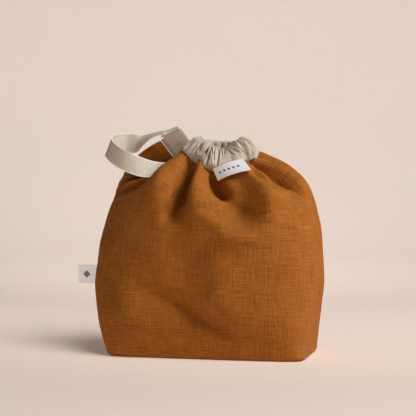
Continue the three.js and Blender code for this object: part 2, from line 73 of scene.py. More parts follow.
MIX_SHARE = 0
MIX_FIRST_COLOUR = 6
MIX_SECOND_COLOUR = 7
MIX_COLOUR = 2


class Ring(NamedTuple):
    """Plan of the filled body at one height."""

    height: float
    half_width: float
    half_depth: float
    squareness: float
    shift_x: float
    shift_y: float
    twist: float


class Neck(NamedTuple):
    """Casing seam at one angle: its place, the casing's lean, the shoulder's roundness and the gathers."""

    angle: float
    radius: float
    height: float
    lean: float
    bulge: float
    gather: float


class Fold(NamedTuple):
    """Fold that runs down from the neck. A ridge stands out, a groove goes in, with a slope each side."""

    cloth: float
    neck_angle: float
    low_angle: float
    left: float
    right: float
    depth: float
    reach: float


class Swell(NamedTuple):
    """Soft swell, hollow or pressed crease of a cloth, which may run aslant."""

    angle: float
    height: float
    span_angle: float
    span_height: float
    slant: float
    depth: float


class Crease(NamedTuple):
    """Crease or ridge of the front, from a high place to a low one as seen from the front."""

    high_x: float
    high_z: float
    low_x: float
    low_z: float
    bow: float
    left: float
    right: float
    depth: float


class CasingLevel(NamedTuple):
    """Level up the casing: half thickness of skin and hollow, and the push of folds and gathers."""

    high: float
    half: float
    hollow_high: float
    hollow_half: float
    seam_share: float
    fold_share: float
    gather_share: float


class LoopPoint(NamedTuple):
    """Middle of the tape outside the casing, and the way its upper edge points."""

    x: float
    y: float
    z: float
    up_x: float
    up_y: float
    up_z: float


RINGS = (
    Ring(0, 123.6, 64.5, 10, 4.4, 4, 3.2),
    Ring(3, 126.6, 68, 10, 4.4, 4, 3.2),
    Ring(10, 128.1, 70.5, 9, 3.4, 3.5, 3),
    Ring(31, 133.5, 74, 6.5, 1, 2.5, 2.5),
    Ring(63, 141, 78, 4, -0.5, 1.5, 1.5),
    Ring(95, 146, 80, 3, -0.5, 1, 0.5),
    Ring(135, 143, 80, 2.8, 1, 1, 0),
    Ring(165, 139, 78.5, 2.5, 3, 2, 0),
    Ring(190, 133.5, 75, 2.3, 3.5, 3, 0),
)

NECKS = (
    Neck(180, 84, 226, 0.6, 1.2, 0),
    Neck(186, 57, 222, 0.65, 0.9, 0),
    Neck(192, 47, 247, 0.7, 0.4, 0.8),
    Neck(202, 48, 253, 0.74, 0.3, 1.5),
    Neck(214, 46, 251, 0.69, 0.35, 2),
    Neck(228, 44, 246, 0.62, 0.2, 2.5),
    Neck(242, 43, 248, 0.7, 0.2, 2.5),
    Neck(249, 42, 240.5, 0.58, 0.35, 3.5),
    Neck(257, 41.3, 236, 0.46, 0.5, 4),
    Neck(266, 41, 235, 0.42, 0.5, 3.5),
    Neck(285, 41, 236, 0.62, 0.5, 2),
    Neck(305, 42, 241, 0.72, 0.5, 1.5),
    Neck(325, 43, 245, 0.65, 0.48, 3),
    Neck(340, 45, 246, 0.55, 0.46, 4),
    Neck(352, 46, 247, 0.62, 0.46, 3),
    Neck(371, 48, 256, 0.85, 0.46, 2),
    Neck(390, 47, 249, 0.6, 0.52, 4),
    Neck(420, 44, 241, 0.35, 0.6, 4.5),
    Neck(450, 42, 239.5, 0.3, 0.6, 4.5),
    Neck(480, 43, 240, 0.3, 0.6, 4),
    Neck(505, 47, 241, 0.42, 0.68, 3.5),
    Neck(520, 54, 243.5, 0.64, 0.74, 2),
    Neck(532, 66, 248.5, 0.82, 0.8, 0.5),
    Neck(540, 82, 271.5, 0.88, 0.72, 0),
)

FOLDS = (
    Fold(180, 180, 180, 8, 8, 2, 110),
    Fold(195, 189, 202, 10, 8, -12, 105),
    Fold(217, 203, 229, 13, 14, 14, 120),
    Fold(244, 235.5, 252, 11, 6, -20, 120),
    Fold(255, 247, 264, 6, 10, 11, 105),
    Fold(278, 265, 294, 8, 8, -17, 75),
    Fold(303, 294, 311, 15, 12, -6, 110),
    Fold(327, 314, 327, 9, 8, 8, 115),
    Fold(340, 327, 340, 6, 6, 4, 90),
    Fold(349, 337, 349.5, 7, 2.8, -14, 100),
    Fold(354, 345.5, 354.3, 2.8, 6, 9, 90),
    Fold(360, 360, 360, 8, 8, 0, 60),
    Fold(368, 370, 367, 9, 9, 5, 90),
    Fold(388, 390, 386, 8, 8, -11, 70),
    Fold(407, 408, 405, 10, 10, 7, 80),
    Fold(425, 424, 426, 7, 7, -12, 65),
    Fold(442, 441, 444, 9, 9, 8, 75),
    Fold(458, 458, 458, 7, 7, -10, 85),
    Fold(473, 474, 472, 9, 9, 8, 65),
    Fold(490, 491, 488, 7.5, 7.5, -12, 75),
    Fold(506, 508, 504, 9, 9, 7, 85),
    Fold(521, 522, 520, 6, 6, -7, 60),
    Fold(540, 540, 540, 8, 8, 0, 60),
)

SWELLS = (
    Swell(270, 58, 13, 32, -1.15, -9),
    Swell(241, 40, 16, 22, -0.5, 5),
    Swell(223, 56, 7, 38, -0.13, 3.5),
    Swell(292, 100, 13, 40, 0, 5),
    Swell(262, 122, 14, 32, 0, -3),
    Swell(308, 188, 14, 19, 0, -15),
    Swell(306, 153, 18, 9, 0, 8.5),
    Swell(287, 170, 9, 12, -1, 4),
    Swell(326, 174, 7, 13, 0.5, 4),
    Swell(326, 194, 5.5, 18, 0.1, 5.5),
    Swell(184, 208, 10, 13, 0, 2.5),
    Swell(536, 208, 10, 13, 0, 2.5),
    Swell(318, 90, 14, 40, 0.2, -1.5),
    Swell(420, 80, 14, 50, 0.3, -3),
    Swell(470, 110, 16, 40, -0.3, -2.5),
)

CREASES = (
    Crease(-16, 254, -40, 164, 4, 5, 9, -12),
    Crease(9, 236, 40, 196, -6, 4, 12, -11),
    Crease(58, 241, 123, 208, 0, 4, 2.5, -8),
    Crease(14, 94, 84, 23, 0, 15, 45, 5.5),
    Crease(-104, 104, -72, 6, 0, 12, 32, 3.5),
)

CASING_LEVELS = (
    CasingLevel(1, 1.25, 3, 0.3, 1, 0, 0),
    CasingLevel(4, 2.9, 4.3, 1.9, 0, 0.8, 0.3),
    CasingLevel(13, 2.9, 13, 1.9, 0, 0.5, 0.8),
    CasingLevel(23, 2.9, 23, 1.9, 0, 0.3, 1),
    CasingLevel(32, 1.9, 31, 1.1, 0, 0, 0.3),
)

PLEATS = (
    Swell(224, 18, 1.3, 12, 0.2, -3),
    Swell(232, 17, 1.3, 16, 0.1, -8),
    Swell(239, 22, 1, 9, -0.1, -4),
    Swell(245, 12, 0.9, 9, 0.3, -3.5),
    Swell(250, 14, 1.1, 13, 0.1, -6),
    Swell(256, 20, 0.9, 9, -0.2, -4),
    Swell(261, 16, 1.2, 15, 0.25, -8),
    Swell(267, 23, 0.9, 7, -0.35, -3.5),
    Swell(271, 21, 1, 10, -0.1, -5),
    Swell(280, 18, 1.3, 16, 0.12, -8),
    Swell(287, 24, 0.9, 6, -0.3, -3.5),
    Swell(296, 24, 1.1, 8, 0.3, -3.5),
    Swell(305, 21, 1, 10, -0.5, -4.5),
    Swell(314, 19, 1.2, 12, -0.8, -7),
    Swell(325, 16, 1.2, 13, -0.8, -7),
    Swell(336, 17, 1.3, 12, -0.5, -5),
    Swell(346, 16, 1.6, 12, -0.3, -3),
)

LOOP_POINTS = (
    LoopPoint(-65, 14, 282, -0.27, 0.95, 0.12),
    LoopPoint(-84, 20, 277.5, -0.27, 0.94, 0.2),
    LoopPoint(-97, 24, 271.5, -0.24, 0.83, 0.5),
    LoopPoint(-109, 27.5, 267.5, -0.06, 0.25, 0.96),
    LoopPoint(-121.5, 26, 268, 0.08, 0.1, 0.99),
    LoopPoint(-131, 13, 267.5, 0.16, 0.16, 0.97),
    LoopPoint(-133.5, -5, 265, 0.26, 0.3, 0.92),
    LoopPoint(-125.5, -20.5, 258, 0.2, 0.1, 0.97),
    LoopPoint(-109, -29, 248, 0.16, 0.08, 0.98),
    LoopPoint(-91.5, -27.5, 240.5, 0.1, 0.18, 0.98),
    LoopPoint(-76, -17, 235, 0.08, 0.55, 0.83),
    LoopPoint(-62, -5, 234, 0.1, 0.7, 0.7),
    LoopPoint(-50, 4, 235.5, 0.15, 0.6, 0.78),
    LoopPoint(-38, 10, 241, 0.35, 0.22, 0.91),
    LoopPoint(-27, 9, 249.5, 0.55, 0.15, 0.82),
)


class Side(Enum):
    """The two body panels, with the run of cloth that each takes."""

    FRONT = ("front_panel", LEFT_FRONT, RIGHT_SIDE, -1.0)
    BACK = ("back_panel", RIGHT_SIDE, LEFT_BACK, 1.0)

    @property
    def node(self) -> str:
        """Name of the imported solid."""
        return self.value[0]

    @property
    def run(self) -> tuple[float, float]:
        """First and last place along the cloth."""
        return self.value[1], self.value[2]

    @property
    def base_side(self) -> float:
        """Which way from the base seam the panel lies."""
        return self.value[3]


def ease(share: Array) -> Array:
    """Eases from 0 to 1."""
    held = np.clip(share, 0.0, 1.0)
    return held * held * (3 - 2 * held)


def unit(vectors: Array) -> Array:
    """Vectors of length one."""
    return vectors / np.maximum(np.linalg.norm(vectors, axis=-1, keepdims=True), TINY)


def soft_noise(points: Array, size: float) -> Array:
    """Smooth noise from -1 to 1 at places given in millimetres.

    Args:
        points: Places, with three coordinates in the last axis.
        size: Width of a lump.

    Returns:
        One value for each place.
    """
    flat = (points / size).reshape(-1, 3)
    values = np.fromiter((noise.noise(place) for place in flat), float, len(flat))
    return values.reshape(points.shape[:-1])


class SmoothTable:
    """Rows of named columns, read smoothly at any place along one of them."""

    def __init__(self, rows: Sequence[NamedTuple], key: str) -> None:
        """Keeps the columns as arrays.

        Args:
            rows: Rows in rising order of the key.
            key: Column that places are given in.
        """
        names = rows[0]._fields
        self._columns = {name: np.array([getattr(row, name) for row in rows], float) for name in names}
        self._knots = self._columns[key]

    def read(self, place: Array, column: str) -> Array:
        """Reads a column.

        Args:
            place: Places along the key column.
            column: Name of the column.

        Returns:
            Smooth values at those places.
        """
        knots = self._knots
        values = self._columns[column]
        last = len(knots) - 1
        order = np.arange(last + 1)
        before = np.maximum(order - 1, 0)
        after = np.minimum(order + 1, last)
        slopes = (values[after] - values[before]) / (knots[after] - knots[before])
        index = np.clip(np.searchsorted(knots, place, side="left") - 1, 0, last - 1)
        length = knots[index + 1] - knots[index]
        share = np.clip((place - knots[index]) / length, 0.0, 1.0)
        leave = share * (1 - share) ** 2 * length * slopes[index]
        arrive = share**2 * (share - 1) * length * slopes[index + 1]
        return values[index] + (values[index + 1] - values[index]) * ease(share) + leave + arrive


class NeckFrame(NamedTuple):
    """The casing's own directions: up its height, along the neck and outward."""

    up: Array
    along: Array
    out: Array


def run_lengths(line: Array) -> Array:
    """Distance of each point of a line from the first one, along the line."""
    steps = np.linalg.norm(np.diff(line, axis=0), axis=1)
    return np.concatenate([[0.0], np.cumsum(steps)])


def swell_sum(swells: Sequence[Swell], angle: Array, height: Array) -> Array:
    """Sums how far swells push a cloth outward.

    Args:
        swells: The swells.
        angle: Angles, in degrees.
        height: Heights in millimetres.

    Returns:
        Offsets in millimetres.
    """
    offset = np.zeros(np.broadcast(angle, height).shape)
    for swell in swells:
        above = height - swell.height
        aside = (angle - swell.angle - swell.slant * above) / swell.span_angle
        offset += swell.depth * np.exp(-(aside**2) - (above / swell.span_height) ** 2)
    return offset


def add_object(name: str, data: bpy.types.ID) -> Piece:
    """Adds an object at the origin.

    Args:
        name: Its name.
        data: Its mesh, lamp or lens.

    Returns:
        The object, in the scene.
    """
    item = bpy.data.objects.new(name, data)
    bpy.context.scene.collection.objects.link(item)
    return item


@dataclass
class BagShape:
    """Surfaces of the filled bag, given by place along the cloth and level up it.

    Level runs from 0 at the floor to 1 at the shoulder and to 2 at the casing seam.
    """

    shoulder_height: float = 190.0
    neck_x: float = 14.0
    neck_y: float = 8.0
    shoulder_ease: float = 0.06
    shoulder_rise: float = 0.8
    shoulder_lead: float = 0.3
    shoulder_trend: float = 8.0
    seam_blend: float = 18.0
    fold_spread: float = 0.8
    fold_start: float = 0.5
    fold_peak: float = 0.33
    swell_clear: float = 40.0
    gather_count: float = 24.0
    gather_wander: float = 1.9
    gather_drifts: float = 3.0
    gather_change: float = 0.28
    gather_swells: float = 7.0
    pucker_count: float = 61.0
    pucker_size: float = 0.4
    pucker_fade: float = 9.0
    wrinkle_size: float = 34.0
    wrinkle_depth: float = 1.0
    crumple_size: float = 11.0
    crumple_depth: float = 0.22
    crease_start: float = 0.2
    crease_end: float = 0.3
    crease_depth: float = 20.0
    crease_clear: float = 8.0
    seam_dip: float = 1.3
    seam_dip_width: float = 2.2
    seam_pucker: float = 0.35
    seam_pucker_step: float = 13.0
    probe_angle: float = 1.0
    probe_cloth: float = 0.5
    probe_level: float = 0.01
    rings: SmoothTable = field(default_factory=lambda: SmoothTable(RINGS, "height"))
    necks: SmoothTable = field(default_factory=lambda: SmoothTable(NECKS, "angle"))
    folds: SmoothTable = field(default_factory=lambda: SmoothTable(FOLDS, "cloth"))

    def ring_point(self, angle: Array, height: Array) -> Array:
        """Finds points on the body's plan.

        Args:
            angle: Angles about its middle, in degrees.
            height: Heights above the floor.

        Returns:
            Points in millimetres.
        """
        turn = np.radians(angle)
        power = self.rings.read(height, "squareness")
        wide = np.abs(np.cos(turn) / self.rings.read(height, "half_width")) ** power
        deep = np.abs(np.sin(turn) / self.rings.read(height, "half_depth")) ** power
        radius = (wide + deep) ** (-1 / power)
        way = turn + np.radians(self.rings.read(height, "twist"))
        x = self.rings.read(height, "shift_x") + radius * np.cos(way)
        y = self.rings.read(height, "shift_y") + radius * np.sin(way)
        return np.stack([x, y, np.broadcast_to(height, x.shape)], axis=-1)

    def neck_point(self, angle: Array) -> Array:
        """Finds points on the casing seam.

        Args:
            angle: Angles about the neck, in degrees.

        Returns:
            Points in millimetres.
        """
        turn = np.radians(angle)
        radius = self.necks.read(angle, "radius")
        x = self.neck_x + radius * np.cos(turn)
        y = self.neck_y + radius * np.sin(turn)
        return np.stack([x, y, self.necks.read(angle, "height")], axis=-1)

    def neck_frame(self, angle: Array) -> NeckFrame:
        """Finds the casing's own directions.

        Args:
            angle: Angles about the neck, in degrees.

        Returns:
            The directions at each angle.
        """
        turn = np.radians(angle)
        lean = self.necks.read(angle, "lean")
        up = np.stack([-np.cos(turn) * lean, -np.sin(turn) * lean, np.sqrt(1 - lean * lean)], axis=-1)
        ahead = self.neck_point(np.minimum(angle + self.probe_angle, LEFT_BACK))
        along = unit(ahead - self.neck_point(np.maximum(angle - self.probe_angle, LEFT_FRONT)))
        return NeckFrame(up, along, unit(np.cross(along, up)))

    def fold_offset(self, cloth: Array, drop: Array) -> Array:
        """Sums how far the folds push the cloth outward.

        Args:
            cloth: Places along the cloth.
            drop: Distances below the casing seam.

        Returns:
            Offsets in millimetres.
        """
        offset = np.zeros(np.broadcast(cloth, drop).shape)
        for fold in FOLDS:
            share = np.minimum(drop / fold.reach, 1.0)
            slope = np.where(cloth < fold.cloth, fold.left, fold.right)
            width = slope * (1 + self.fold_spread * share)
            growth = self.fold_start + (1 - self.fold_start) * ease(share / self.fold_peak)
            fade = 1 - ease((share - self.fold_peak) / (1 - self.fold_peak))
            offset += fold.depth * growth * fade * np.exp(-(((cloth - fold.cloth) / width) ** 2))
        return offset

    def plain_point(self, cloth: Array, level: Array) -> Array:
        """Finds points on the body without its folds.

        Args:
            cloth: Places along the cloth.
            level: Levels up it, of the same shape.

        Returns:
            Points in millimetres.
        """
        low_angle = self.folds.read(cloth, "low_angle")
        neck_angle = self.folds.read(cloth, "neck_angle")
        wall = self.ring_point(low_angle, np.minimum(level, 1.0) * self.shoulder_height)
        top = np.full_like(low_angle, self.shoulder_height)
        low = self.ring_point(low_angle, top)
        high = self.neck_point(neck_angle)
        rise = (high - low)[..., 2]
        corner = low + (high - low) * self.shoulder_ease
        corner[..., 2] = low[..., 2] + rise * self.shoulder_rise
        bulge = self.necks.read(neck_angle, "bulge")[..., None]
        middle = (low + high) / 2
        bend = middle + (corner - middle) * bulge
        trend = low - self.ring_point(low_angle, top - self.shoulder_trend)
        lead = low + trend * (self.shoulder_lead * rise / self.shoulder_trend)[..., None]
        share = np.clip(level - 1, 0.0, 1.0)[..., None]
        back = 1 - share
        shoulder = back**3 * low + 3 * back**2 * share * lead + 3 * back * share**2 * bend + share**3 * high
        return np.where((level <= 1)[..., None], wall, shoulder)

    def drop_from_seam(self, cloth: Array, level: Array) -> Array:
        """Finds distances down the cloth from the casing seam.

        Args:
            cloth: Places along the cloth.
            level: Levels up it, of the same shape.

        Returns:
            Distances in millimetres.
        """
        ones = np.ones_like(cloth)
        slant = np.linalg.norm(self.plain_point(cloth, ones) - self.plain_point(cloth, 2 * ones), axis=-1)
        return np.where(level > 1, (2 - level) * slant, slant + (1 - level) * self.shoulder_height)

    def fine_offset(self, cloth: Array, drop: Array, point: Array) -> Array:
        """Sums the puckers under the casing, soft wrinkles and the drawn-in side seams.

        Args:
            cloth: Places along the cloth.
            drop: Distances below the casing seam.
            point: Points on the body without its folds.

        Returns:
            Offsets in millimetres.
        """
        turn = np.radians(cloth)
        wander = self.gather_wander * np.sin(self.gather_drifts * turn)
        wave = np.sin(self.pucker_count * turn + 2 * wander)
        pucker = self.pucker_size * wave * np.exp(-drop / self.pucker_fade)
        clear = ease(point[..., 2] / self.swell_clear)
        wrinkle = self.wrinkle_depth * soft_noise(point, self.wrinkle_size)
        crumple = self.crumple_depth * soft_noise(point, self.crumple_size)
        offset = pucker + (wrinkle + crumple) * clear
        for seam in (LEFT_FRONT, RIGHT_SIDE, LEFT_BACK):
            near = np.exp(-(((cloth - seam) / self.seam_dip_width) ** 2))
            wave = np.sin(2 * math.pi * point[..., 2] / self.seam_pucker_step)
            offset -= near * clear * (self.seam_dip + self.seam_pucker * wave)
        return offset

    def crease_offset(self, point: Array) -> Array:
        """Sums how far the front's own creases push the cloth outward.

        Args:
            point: Points on the folded body.

        Returns:
            Offsets in millimetres.
        """
        offset = np.zeros(point.shape[:-1])
        for crease in CREASES:
            run = np.array([crease.low_x - crease.high_x, crease.low_z - crease.high_z])
            length = float(np.linalg.norm(run))
            way = run / length
            x = point[..., 0] - crease.high_x
            z = point[..., 2] - crease.high_z
            share = np.clip((x * way[0] + z * way[1]) / length, 0.0, 1.0)
            aside = z * way[0] - x * way[1] - crease.bow * np.sin(math.pi * share)
            width = np.where(aside < 0, crease.left, crease.right)
            fade = ease(share / self.crease_start) * ease((1 - share) / self.crease_end)
            offset += crease.depth * fade * np.exp(-((aside / width) ** 2))
        return offset * ease(1 - point[..., 1] / self.crease_depth)

    def body_point(self, cloth: Array, level: Array) -> Array:
        """Finds points on the outside of the body.

        Args:
            cloth: Places along the cloth.
            level: Levels up it, of the same shape.

        Returns:
            Points in millimetres.
        """
        drop = self.drop_from_seam(cloth, level)
        point = self.plain_point(cloth, level)
        low_angle = self.folds.read(cloth, "low_angle")
        swell = swell_sum(SWELLS, low_angle, point[..., 2]) * ease(point[..., 2] / self.swell_clear)
        offset = self.fold_offset(cloth, drop) + swell + self.fine_offset(cloth, drop, point)
        right = self.plain_point(np.minimum(cloth + self.probe_cloth, LEFT_BACK), level)
        left = self.plain_point(np.maximum(cloth - self.probe_cloth, LEFT_FRONT), level)
        above = self.plain_point(cloth, np.minimum(level + self.probe_level, 2.0))
        below = self.plain_point(cloth, np.maximum(level - self.probe_level, 0.0))
        across = unit(np.cross(right - left, above - below))
        seam_out = self.neck_frame(self.folds.read(cloth, "neck_angle")).out
        blend = ease(drop / self.seam_blend)[..., None]
        way = unit(seam_out + (across - seam_out) * blend)
        folded = point + way * offset[..., None]
        crease = self.crease_offset(folded) * ease(drop / self.crease_clear)
        return folded + way * crease[..., None]

    def gather_at(self, angle: Array, phase: float) -> Array:
        """Finds the depth of the casing's uneven gathers.

        Args:
            angle: Angles about the neck, in degrees.
            phase: Where the gathers start.

        Returns:
            Depths in millimetres.
        """
        turn = np.radians(angle)
        wander = self.gather_wander * np.sin(self.gather_drifts * turn + phase)
        wave = np.abs(np.sin((self.gather_count * turn + wander + phase) / 2 + math.pi / 4))
        swing = self.gather_change * np.sin(self.gather_swells * turn + 2 * phase)
        return self.necks.read(angle, "gather") * (1 - self.gather_change + swing) * wave


class ClothMesh:
    """Collects grids of points with their cloth coordinates and makes one mesh of them."""

    def __init__(self) -> None:
        """Starts empty."""
        self._points: list[Array] = []
        self._faces: list[Array] = []
        self._corners: list[Array] = []
        self._count = 0

    def add_points(self, points: Array) -> Array:
        """Adds points.

        Args:
            points: Points in millimetres.

        Returns:
            Their indices, in the same arrangement.
        """
        flat = points.reshape(-1, 3)
        self._points.append(flat)
        start = self._count
        self._count += len(flat)
        return np.arange(start, self._count).reshape(points.shape[:-1])

    def add_faces(self, index: Array, cloth: Array, turned: bool = False) -> None:
        """Joins a grid of indices by quads.

        Args:
            index: Indices in rows and columns.
            cloth: Cloth coordinates in metres, in the same arrangement.
            turned: Whether the faces point the other way.
        """
        near = slice(None, -1)
        far = slice(1, None)
        corners = [(near, near), (near, far), (far, far), (far, near)]
        if turned:
            corners.reverse()
        self._faces.append(np.stack([index[corner] for corner in corners], axis=-1).reshape(-1, 4))
        self._corners.append(np.stack([cloth[corner] for corner in corners], axis=-2).reshape(-1, 4, 2))

    def add_sheet(self, outer: Array, inner: Array, cloth: Array) -> None:
        """Adds a closed sheet between two grids that lie a thickness apart.

        Args:
            outer: Points of the outside, in rows from low to high and columns to the right.
            inner: Points of the inside, in the same arrangement.
            cloth: Cloth coordinates in metres.
        """
        out = self.add_points(outer)
        back = self.add_points(inner)
        self.add_faces(out, cloth)
        self.add_faces(back, cloth, turned=True)
        rims = (
            (back[0], out[0], cloth[0]),
            (out[-1], back[-1], cloth[-1]),
            (out[:, 0], back[:, 0], cloth[:, 0]),
            (back[:, -1], out[:, -1], cloth[:, -1]),
        )
        for first, second, edge in rims:
            self.add_faces(np.stack([first, second]), np.stack([edge, edge]))

    def make(self, name: str, material: Material) -> Piece:
        """Makes the mesh object.

        Args:
            name: Name of the piece.
            material: Its finish.

        Returns:
            The object, at the origin, in metres.
        """
        mesh = bpy.data.meshes.new(name)
        points = np.concatenate(self._points) * MM
        mesh.from_pydata(points.tolist(), [], np.concatenate(self._faces).tolist())
        layer = mesh.uv_layers.new(name=CLOTH_MAP)
        layer.data.foreach_set("uv", np.concatenate(self._corners).astype(np.float32).ravel())
        mesh.materials.append(material)
        mesh.shade_smooth()
        mesh.set_sharp_from_angle(angle=math.radians(SHARP_ANGLE))
        mesh.update()
        return add_object(name, mesh)


class Layer(Enum):
    """Layers of a cloth's pattern, each with the shift that keeps it clear of the others."""

    WARP = 0.0
    SLUB_WARP = 1.9
    PICK = 2.2
    WEFT = 3.7
    SATIN_TONE = 4.4
    PATCH = 5.3
    SLUB_WEFT = 6.4
    TONE = 9.1


@dataclass(frozen=True)
class Signal:
    """Value that varies over a surface, with the steps that a finish reckons by."""

    shader: "Shader"
    socket: Socket

    def __add__(self, other: "Signal | float") -> "Signal":
        """Sum."""
        return self.shader.math("ADD", self, other)

    def __sub__(self, other: "Signal | float") -> "Signal":
        """Difference."""
        return self.shader.math("SUBTRACT", self, other)

    def __mul__(self, other: "Signal | float") -> "Signal":
        """Product."""
        return self.shader.math("MULTIPLY", self, other)

    def __abs__(self) -> "Signal":
        """Value without its sign."""
        return self.shader.math("ABSOLUTE", self)

    def sine(self) -> "Signal":
        """Sine of the value."""
        return self.shader.math("SINE", self)

    def to_and_fro(self, limit: float) -> "Signal":
        """Value that runs up to a limit and back to 0 again and again."""
        return self.shader.math("PINGPONG", self, limit)

    def below(self, limit: float) -> "Signal":
        """1 where the value is below a limit, and 0 elsewhere."""
        return self.shader.math("LESS_THAN", self, limit)

    def above(self, limit: float) -> "Signal":
        """1 where the value is above a limit, and 0 elsewhere."""
        return self.shader.math("GREATER_THAN", self, limit)


Value = Signal | float | Sequence[float]


class Shader:
    """Builds one node material in small steps."""

    def __init__(self, name: str) -> None:
        """Starts a material with its surface shader.

        Args:
            name: Name of the material.
        """
        self.material = bpy.data.materials.new(name)
        self.material.use_nodes = True
        self.tree = self.material.node_tree
        self.surface = self.tree.nodes["Principled BSDF"]

    def put(self, target: Socket, value: Value) -> None:
        """Links a signal to an input, or sets the input's own value.

        Args:
            target: The input.
            value: Signal, number, place or colour.
        """
        if isinstance(value, Signal):
            self.tree.links.new(value.socket, target)
        elif target.type == "RGBA":
            target.default_value = (*value, 1.0)
        else:
            target.default_value = value

    def node(self, kind: str, given: dict[str | int, Value], **options: str) -> bpy.types.Node:
        """Adds a node.

        Args:
            kind: Its type.
            given: Values of its inputs.
            options: Its own settings.

        Returns:
            The node.
        """
        node = self.tree.nodes.new(kind)
        for name, option in options.items():
            setattr(node, name, option)
        for key, value in given.items():
            self.put(node.inputs[key], value)
        return node

    def math(self, operation: str, *values: Signal | float) -> Signal:
        """Result of a math node."""
        node = self.node("ShaderNodeMath", dict(enumerate(values)), operation=operation)
        return Signal(self, node.outputs[0])

    def cloth(self, across: float, along: float, shift: float = 0.0) -> Signal:
        """Counts the cloth coordinates in steps.

        Args:
            across: Step across the cloth, in millimetres.
            along: Step along it.
            shift: How far the count is shifted.

        Returns:
            The two counts as one place.
        """
        source = self.node("ShaderNodeUVMap", {}, uv_map=CLOTH_MAP)
        given = {
            "Vector": Signal(self, source.outputs["UV"]),
            "Scale": (1 / (across * MM), 1 / (along * MM), 1),
            "Location": (shift, 2 * shift, 0),
        }
        return Signal(self, self.node("ShaderNodeMapping", given).outputs["Vector"])

    def noise(self, layer: Layer, across: float, along: float, detail: float = 2.0) -> Signal:
        """Adds soft noise on the cloth.

        Args:
            layer: The layer of the pattern.
            across: Width of a lump in millimetres.
            along: Length of a lump.
            detail: How fine its smallest lumps are.

        Returns:
            Values from 0 to 1.
        """
        given = {"Vector": self.cloth(across, along, layer.value), "Scale": 1.0, "Detail": detail}
        node = self.node("ShaderNodeTexNoise", given, noise_dimensions="2D")
        return Signal(self, node.outputs["Fac"])

    def grain(self, scale: float) -> Signal:
        """Adds soft noise in space.

        Args:
            scale: Number of lumps to a metre.

        Returns:
            Values from 0 to 1.
        """
        source = self.node("ShaderNodeTexCoord", {})
        given = {"Vector": Signal(self, source.outputs["Object"]), "Scale": scale}
        return Signal(self, self.node("ShaderNodeTexNoise", given).outputs["Fac"])

    def split(self, place: Signal) -> tuple[Signal, Signal]:
        """The two cloth coordinates on their own."""
        node = self.node("ShaderNodeSeparateXYZ", {0: place})
        return Signal(self, node.outputs["X"]), Signal(self, node.outputs["Y"])

    def spread(self, value: Signal, low: float, high: float) -> Signal:
        """Stretches a value smoothly.

        Args:
            value: The value.
            low: What becomes 0.
            high: What becomes 1.

        Returns:
            The stretched value.
        """
        given = {"From Min": low, "From Max": high, "Value": value}
        node = self.node("ShaderNodeMapRange", given, interpolation_type="SMOOTHSTEP")
        return Signal(self, node.outputs["Result"])

    def mix(self, share: Signal, first: Signal | Colour, second: Signal | Colour) -> Signal:
        """Colour between two others."""
        given = {MIX_SHARE: share, MIX_FIRST_COLOUR: first, MIX_SECOND_COLOUR: second}
        return Signal(self, self.node("ShaderNodeMix", given, data_type="RGBA").outputs[MIX_COLOUR])

    def finish(self, colour: Signal, roughness: float, sheen: float) -> Material:
        """Sets the surface.

        Args:
            colour: Its colour.
            roughness: Its roughness.
            sheen: The weight of its sheen.

        Returns:
            The material.
        """
        given = {
            "Base Color": colour,
            "Roughness": roughness,
            "Specular IOR Level": CLOTH_GLOSS,
            "Sheen Weight": sheen,
            "Sheen Roughness": SHEEN_ROUGHNESS,
        }
        for name, value in given.items():
            self.put(self.surface.inputs[name], value)
        return self.material

    def bump(self, height: Signal, distance: float, strength: float) -> None:
        """Gives the surface a relief.

        Args:
            height: Height of the relief.
            distance: Its depth in millimetres.
            strength: How strongly it shows.
        """
        given = {"Distance": distance * MM, "Strength": strength, "Height": height}
        node = self.node("ShaderNodeBump", given)
        self.put(self.surface.inputs["Normal"], Signal(self, node.outputs["Normal"]))


@dataclass(frozen=True)
class LinenFinish:
    """Plain weave of uneven linen threads, with thicker slubs both ways."""

    name: str
    deep: Colour
    light: Colour
    slub: Colour
    thread: float = 0.8
    streak: float = 30.0
    slub_width: float = 1.25
    slub_length: float = 13.0
    slub_detail: float = 1.0
    slub_range: tuple[float, float] = (0.6, 0.74)
    patch_width: float = 30.0
    patch_length: float = 22.0
    patch_range: tuple[float, float] = (0.35, 0.7)
    tone_size: float = 42.0
    streak_share: float = 1.9
    slub_share: float = 0.45
    tone_share: float = 0.25
    weave_relief: float = 0.22
    slub_relief: float = 0.5
    relief: float = 0.35
    relief_strength: float = 0.8
    roughness: float = 0.88
    sheen: float = 0.0

    def material(self) -> Material:
        """Makes the material.

        Returns:
            The linen.
        """
        shader = Shader(self.name)
        warp = shader.noise(Layer.WARP, self.thread, self.streak)
        weft = shader.noise(Layer.WEFT, self.streak, self.thread)
        tone = shader.noise(Layer.TONE, self.tone_size, self.tone_size)
        lumps = shader.noise(Layer.PATCH, self.patch_width, self.patch_length)
        patch = shader.spread(lumps, *self.patch_range)
        slub_warp = shader.noise(Layer.SLUB_WARP, self.slub_width, self.slub_length, self.slub_detail)
        slub_weft = shader.noise(Layer.SLUB_WEFT, self.slub_length, self.slub_width, self.slub_detail)
        both = [shader.spread(slub, *self.slub_range) for slub in (slub_warp, slub_weft)]
        slubs = shader.math("MAXIMUM", *both)
        threads = warp + weft - 2 * NOISE_MIDDLE
        shade = threads * self.streak_share + (tone - NOISE_MIDDLE) * self.tone_share
        ground = shader.mix(shade + NOISE_MIDDLE, self.deep, self.light)
        colour = shader.mix(slubs * patch * self.slub_share, ground, self.slub)
        across, along = shader.split(shader.cloth(self.thread / math.pi, self.thread / math.pi))
        height = across.sine() * along.sine() * self.weave_relief + threads + slubs * self.slub_relief
        shader.bump(height, self.relief, self.relief_strength)
        return shader.finish(colour, self.roughness, self.sheen)


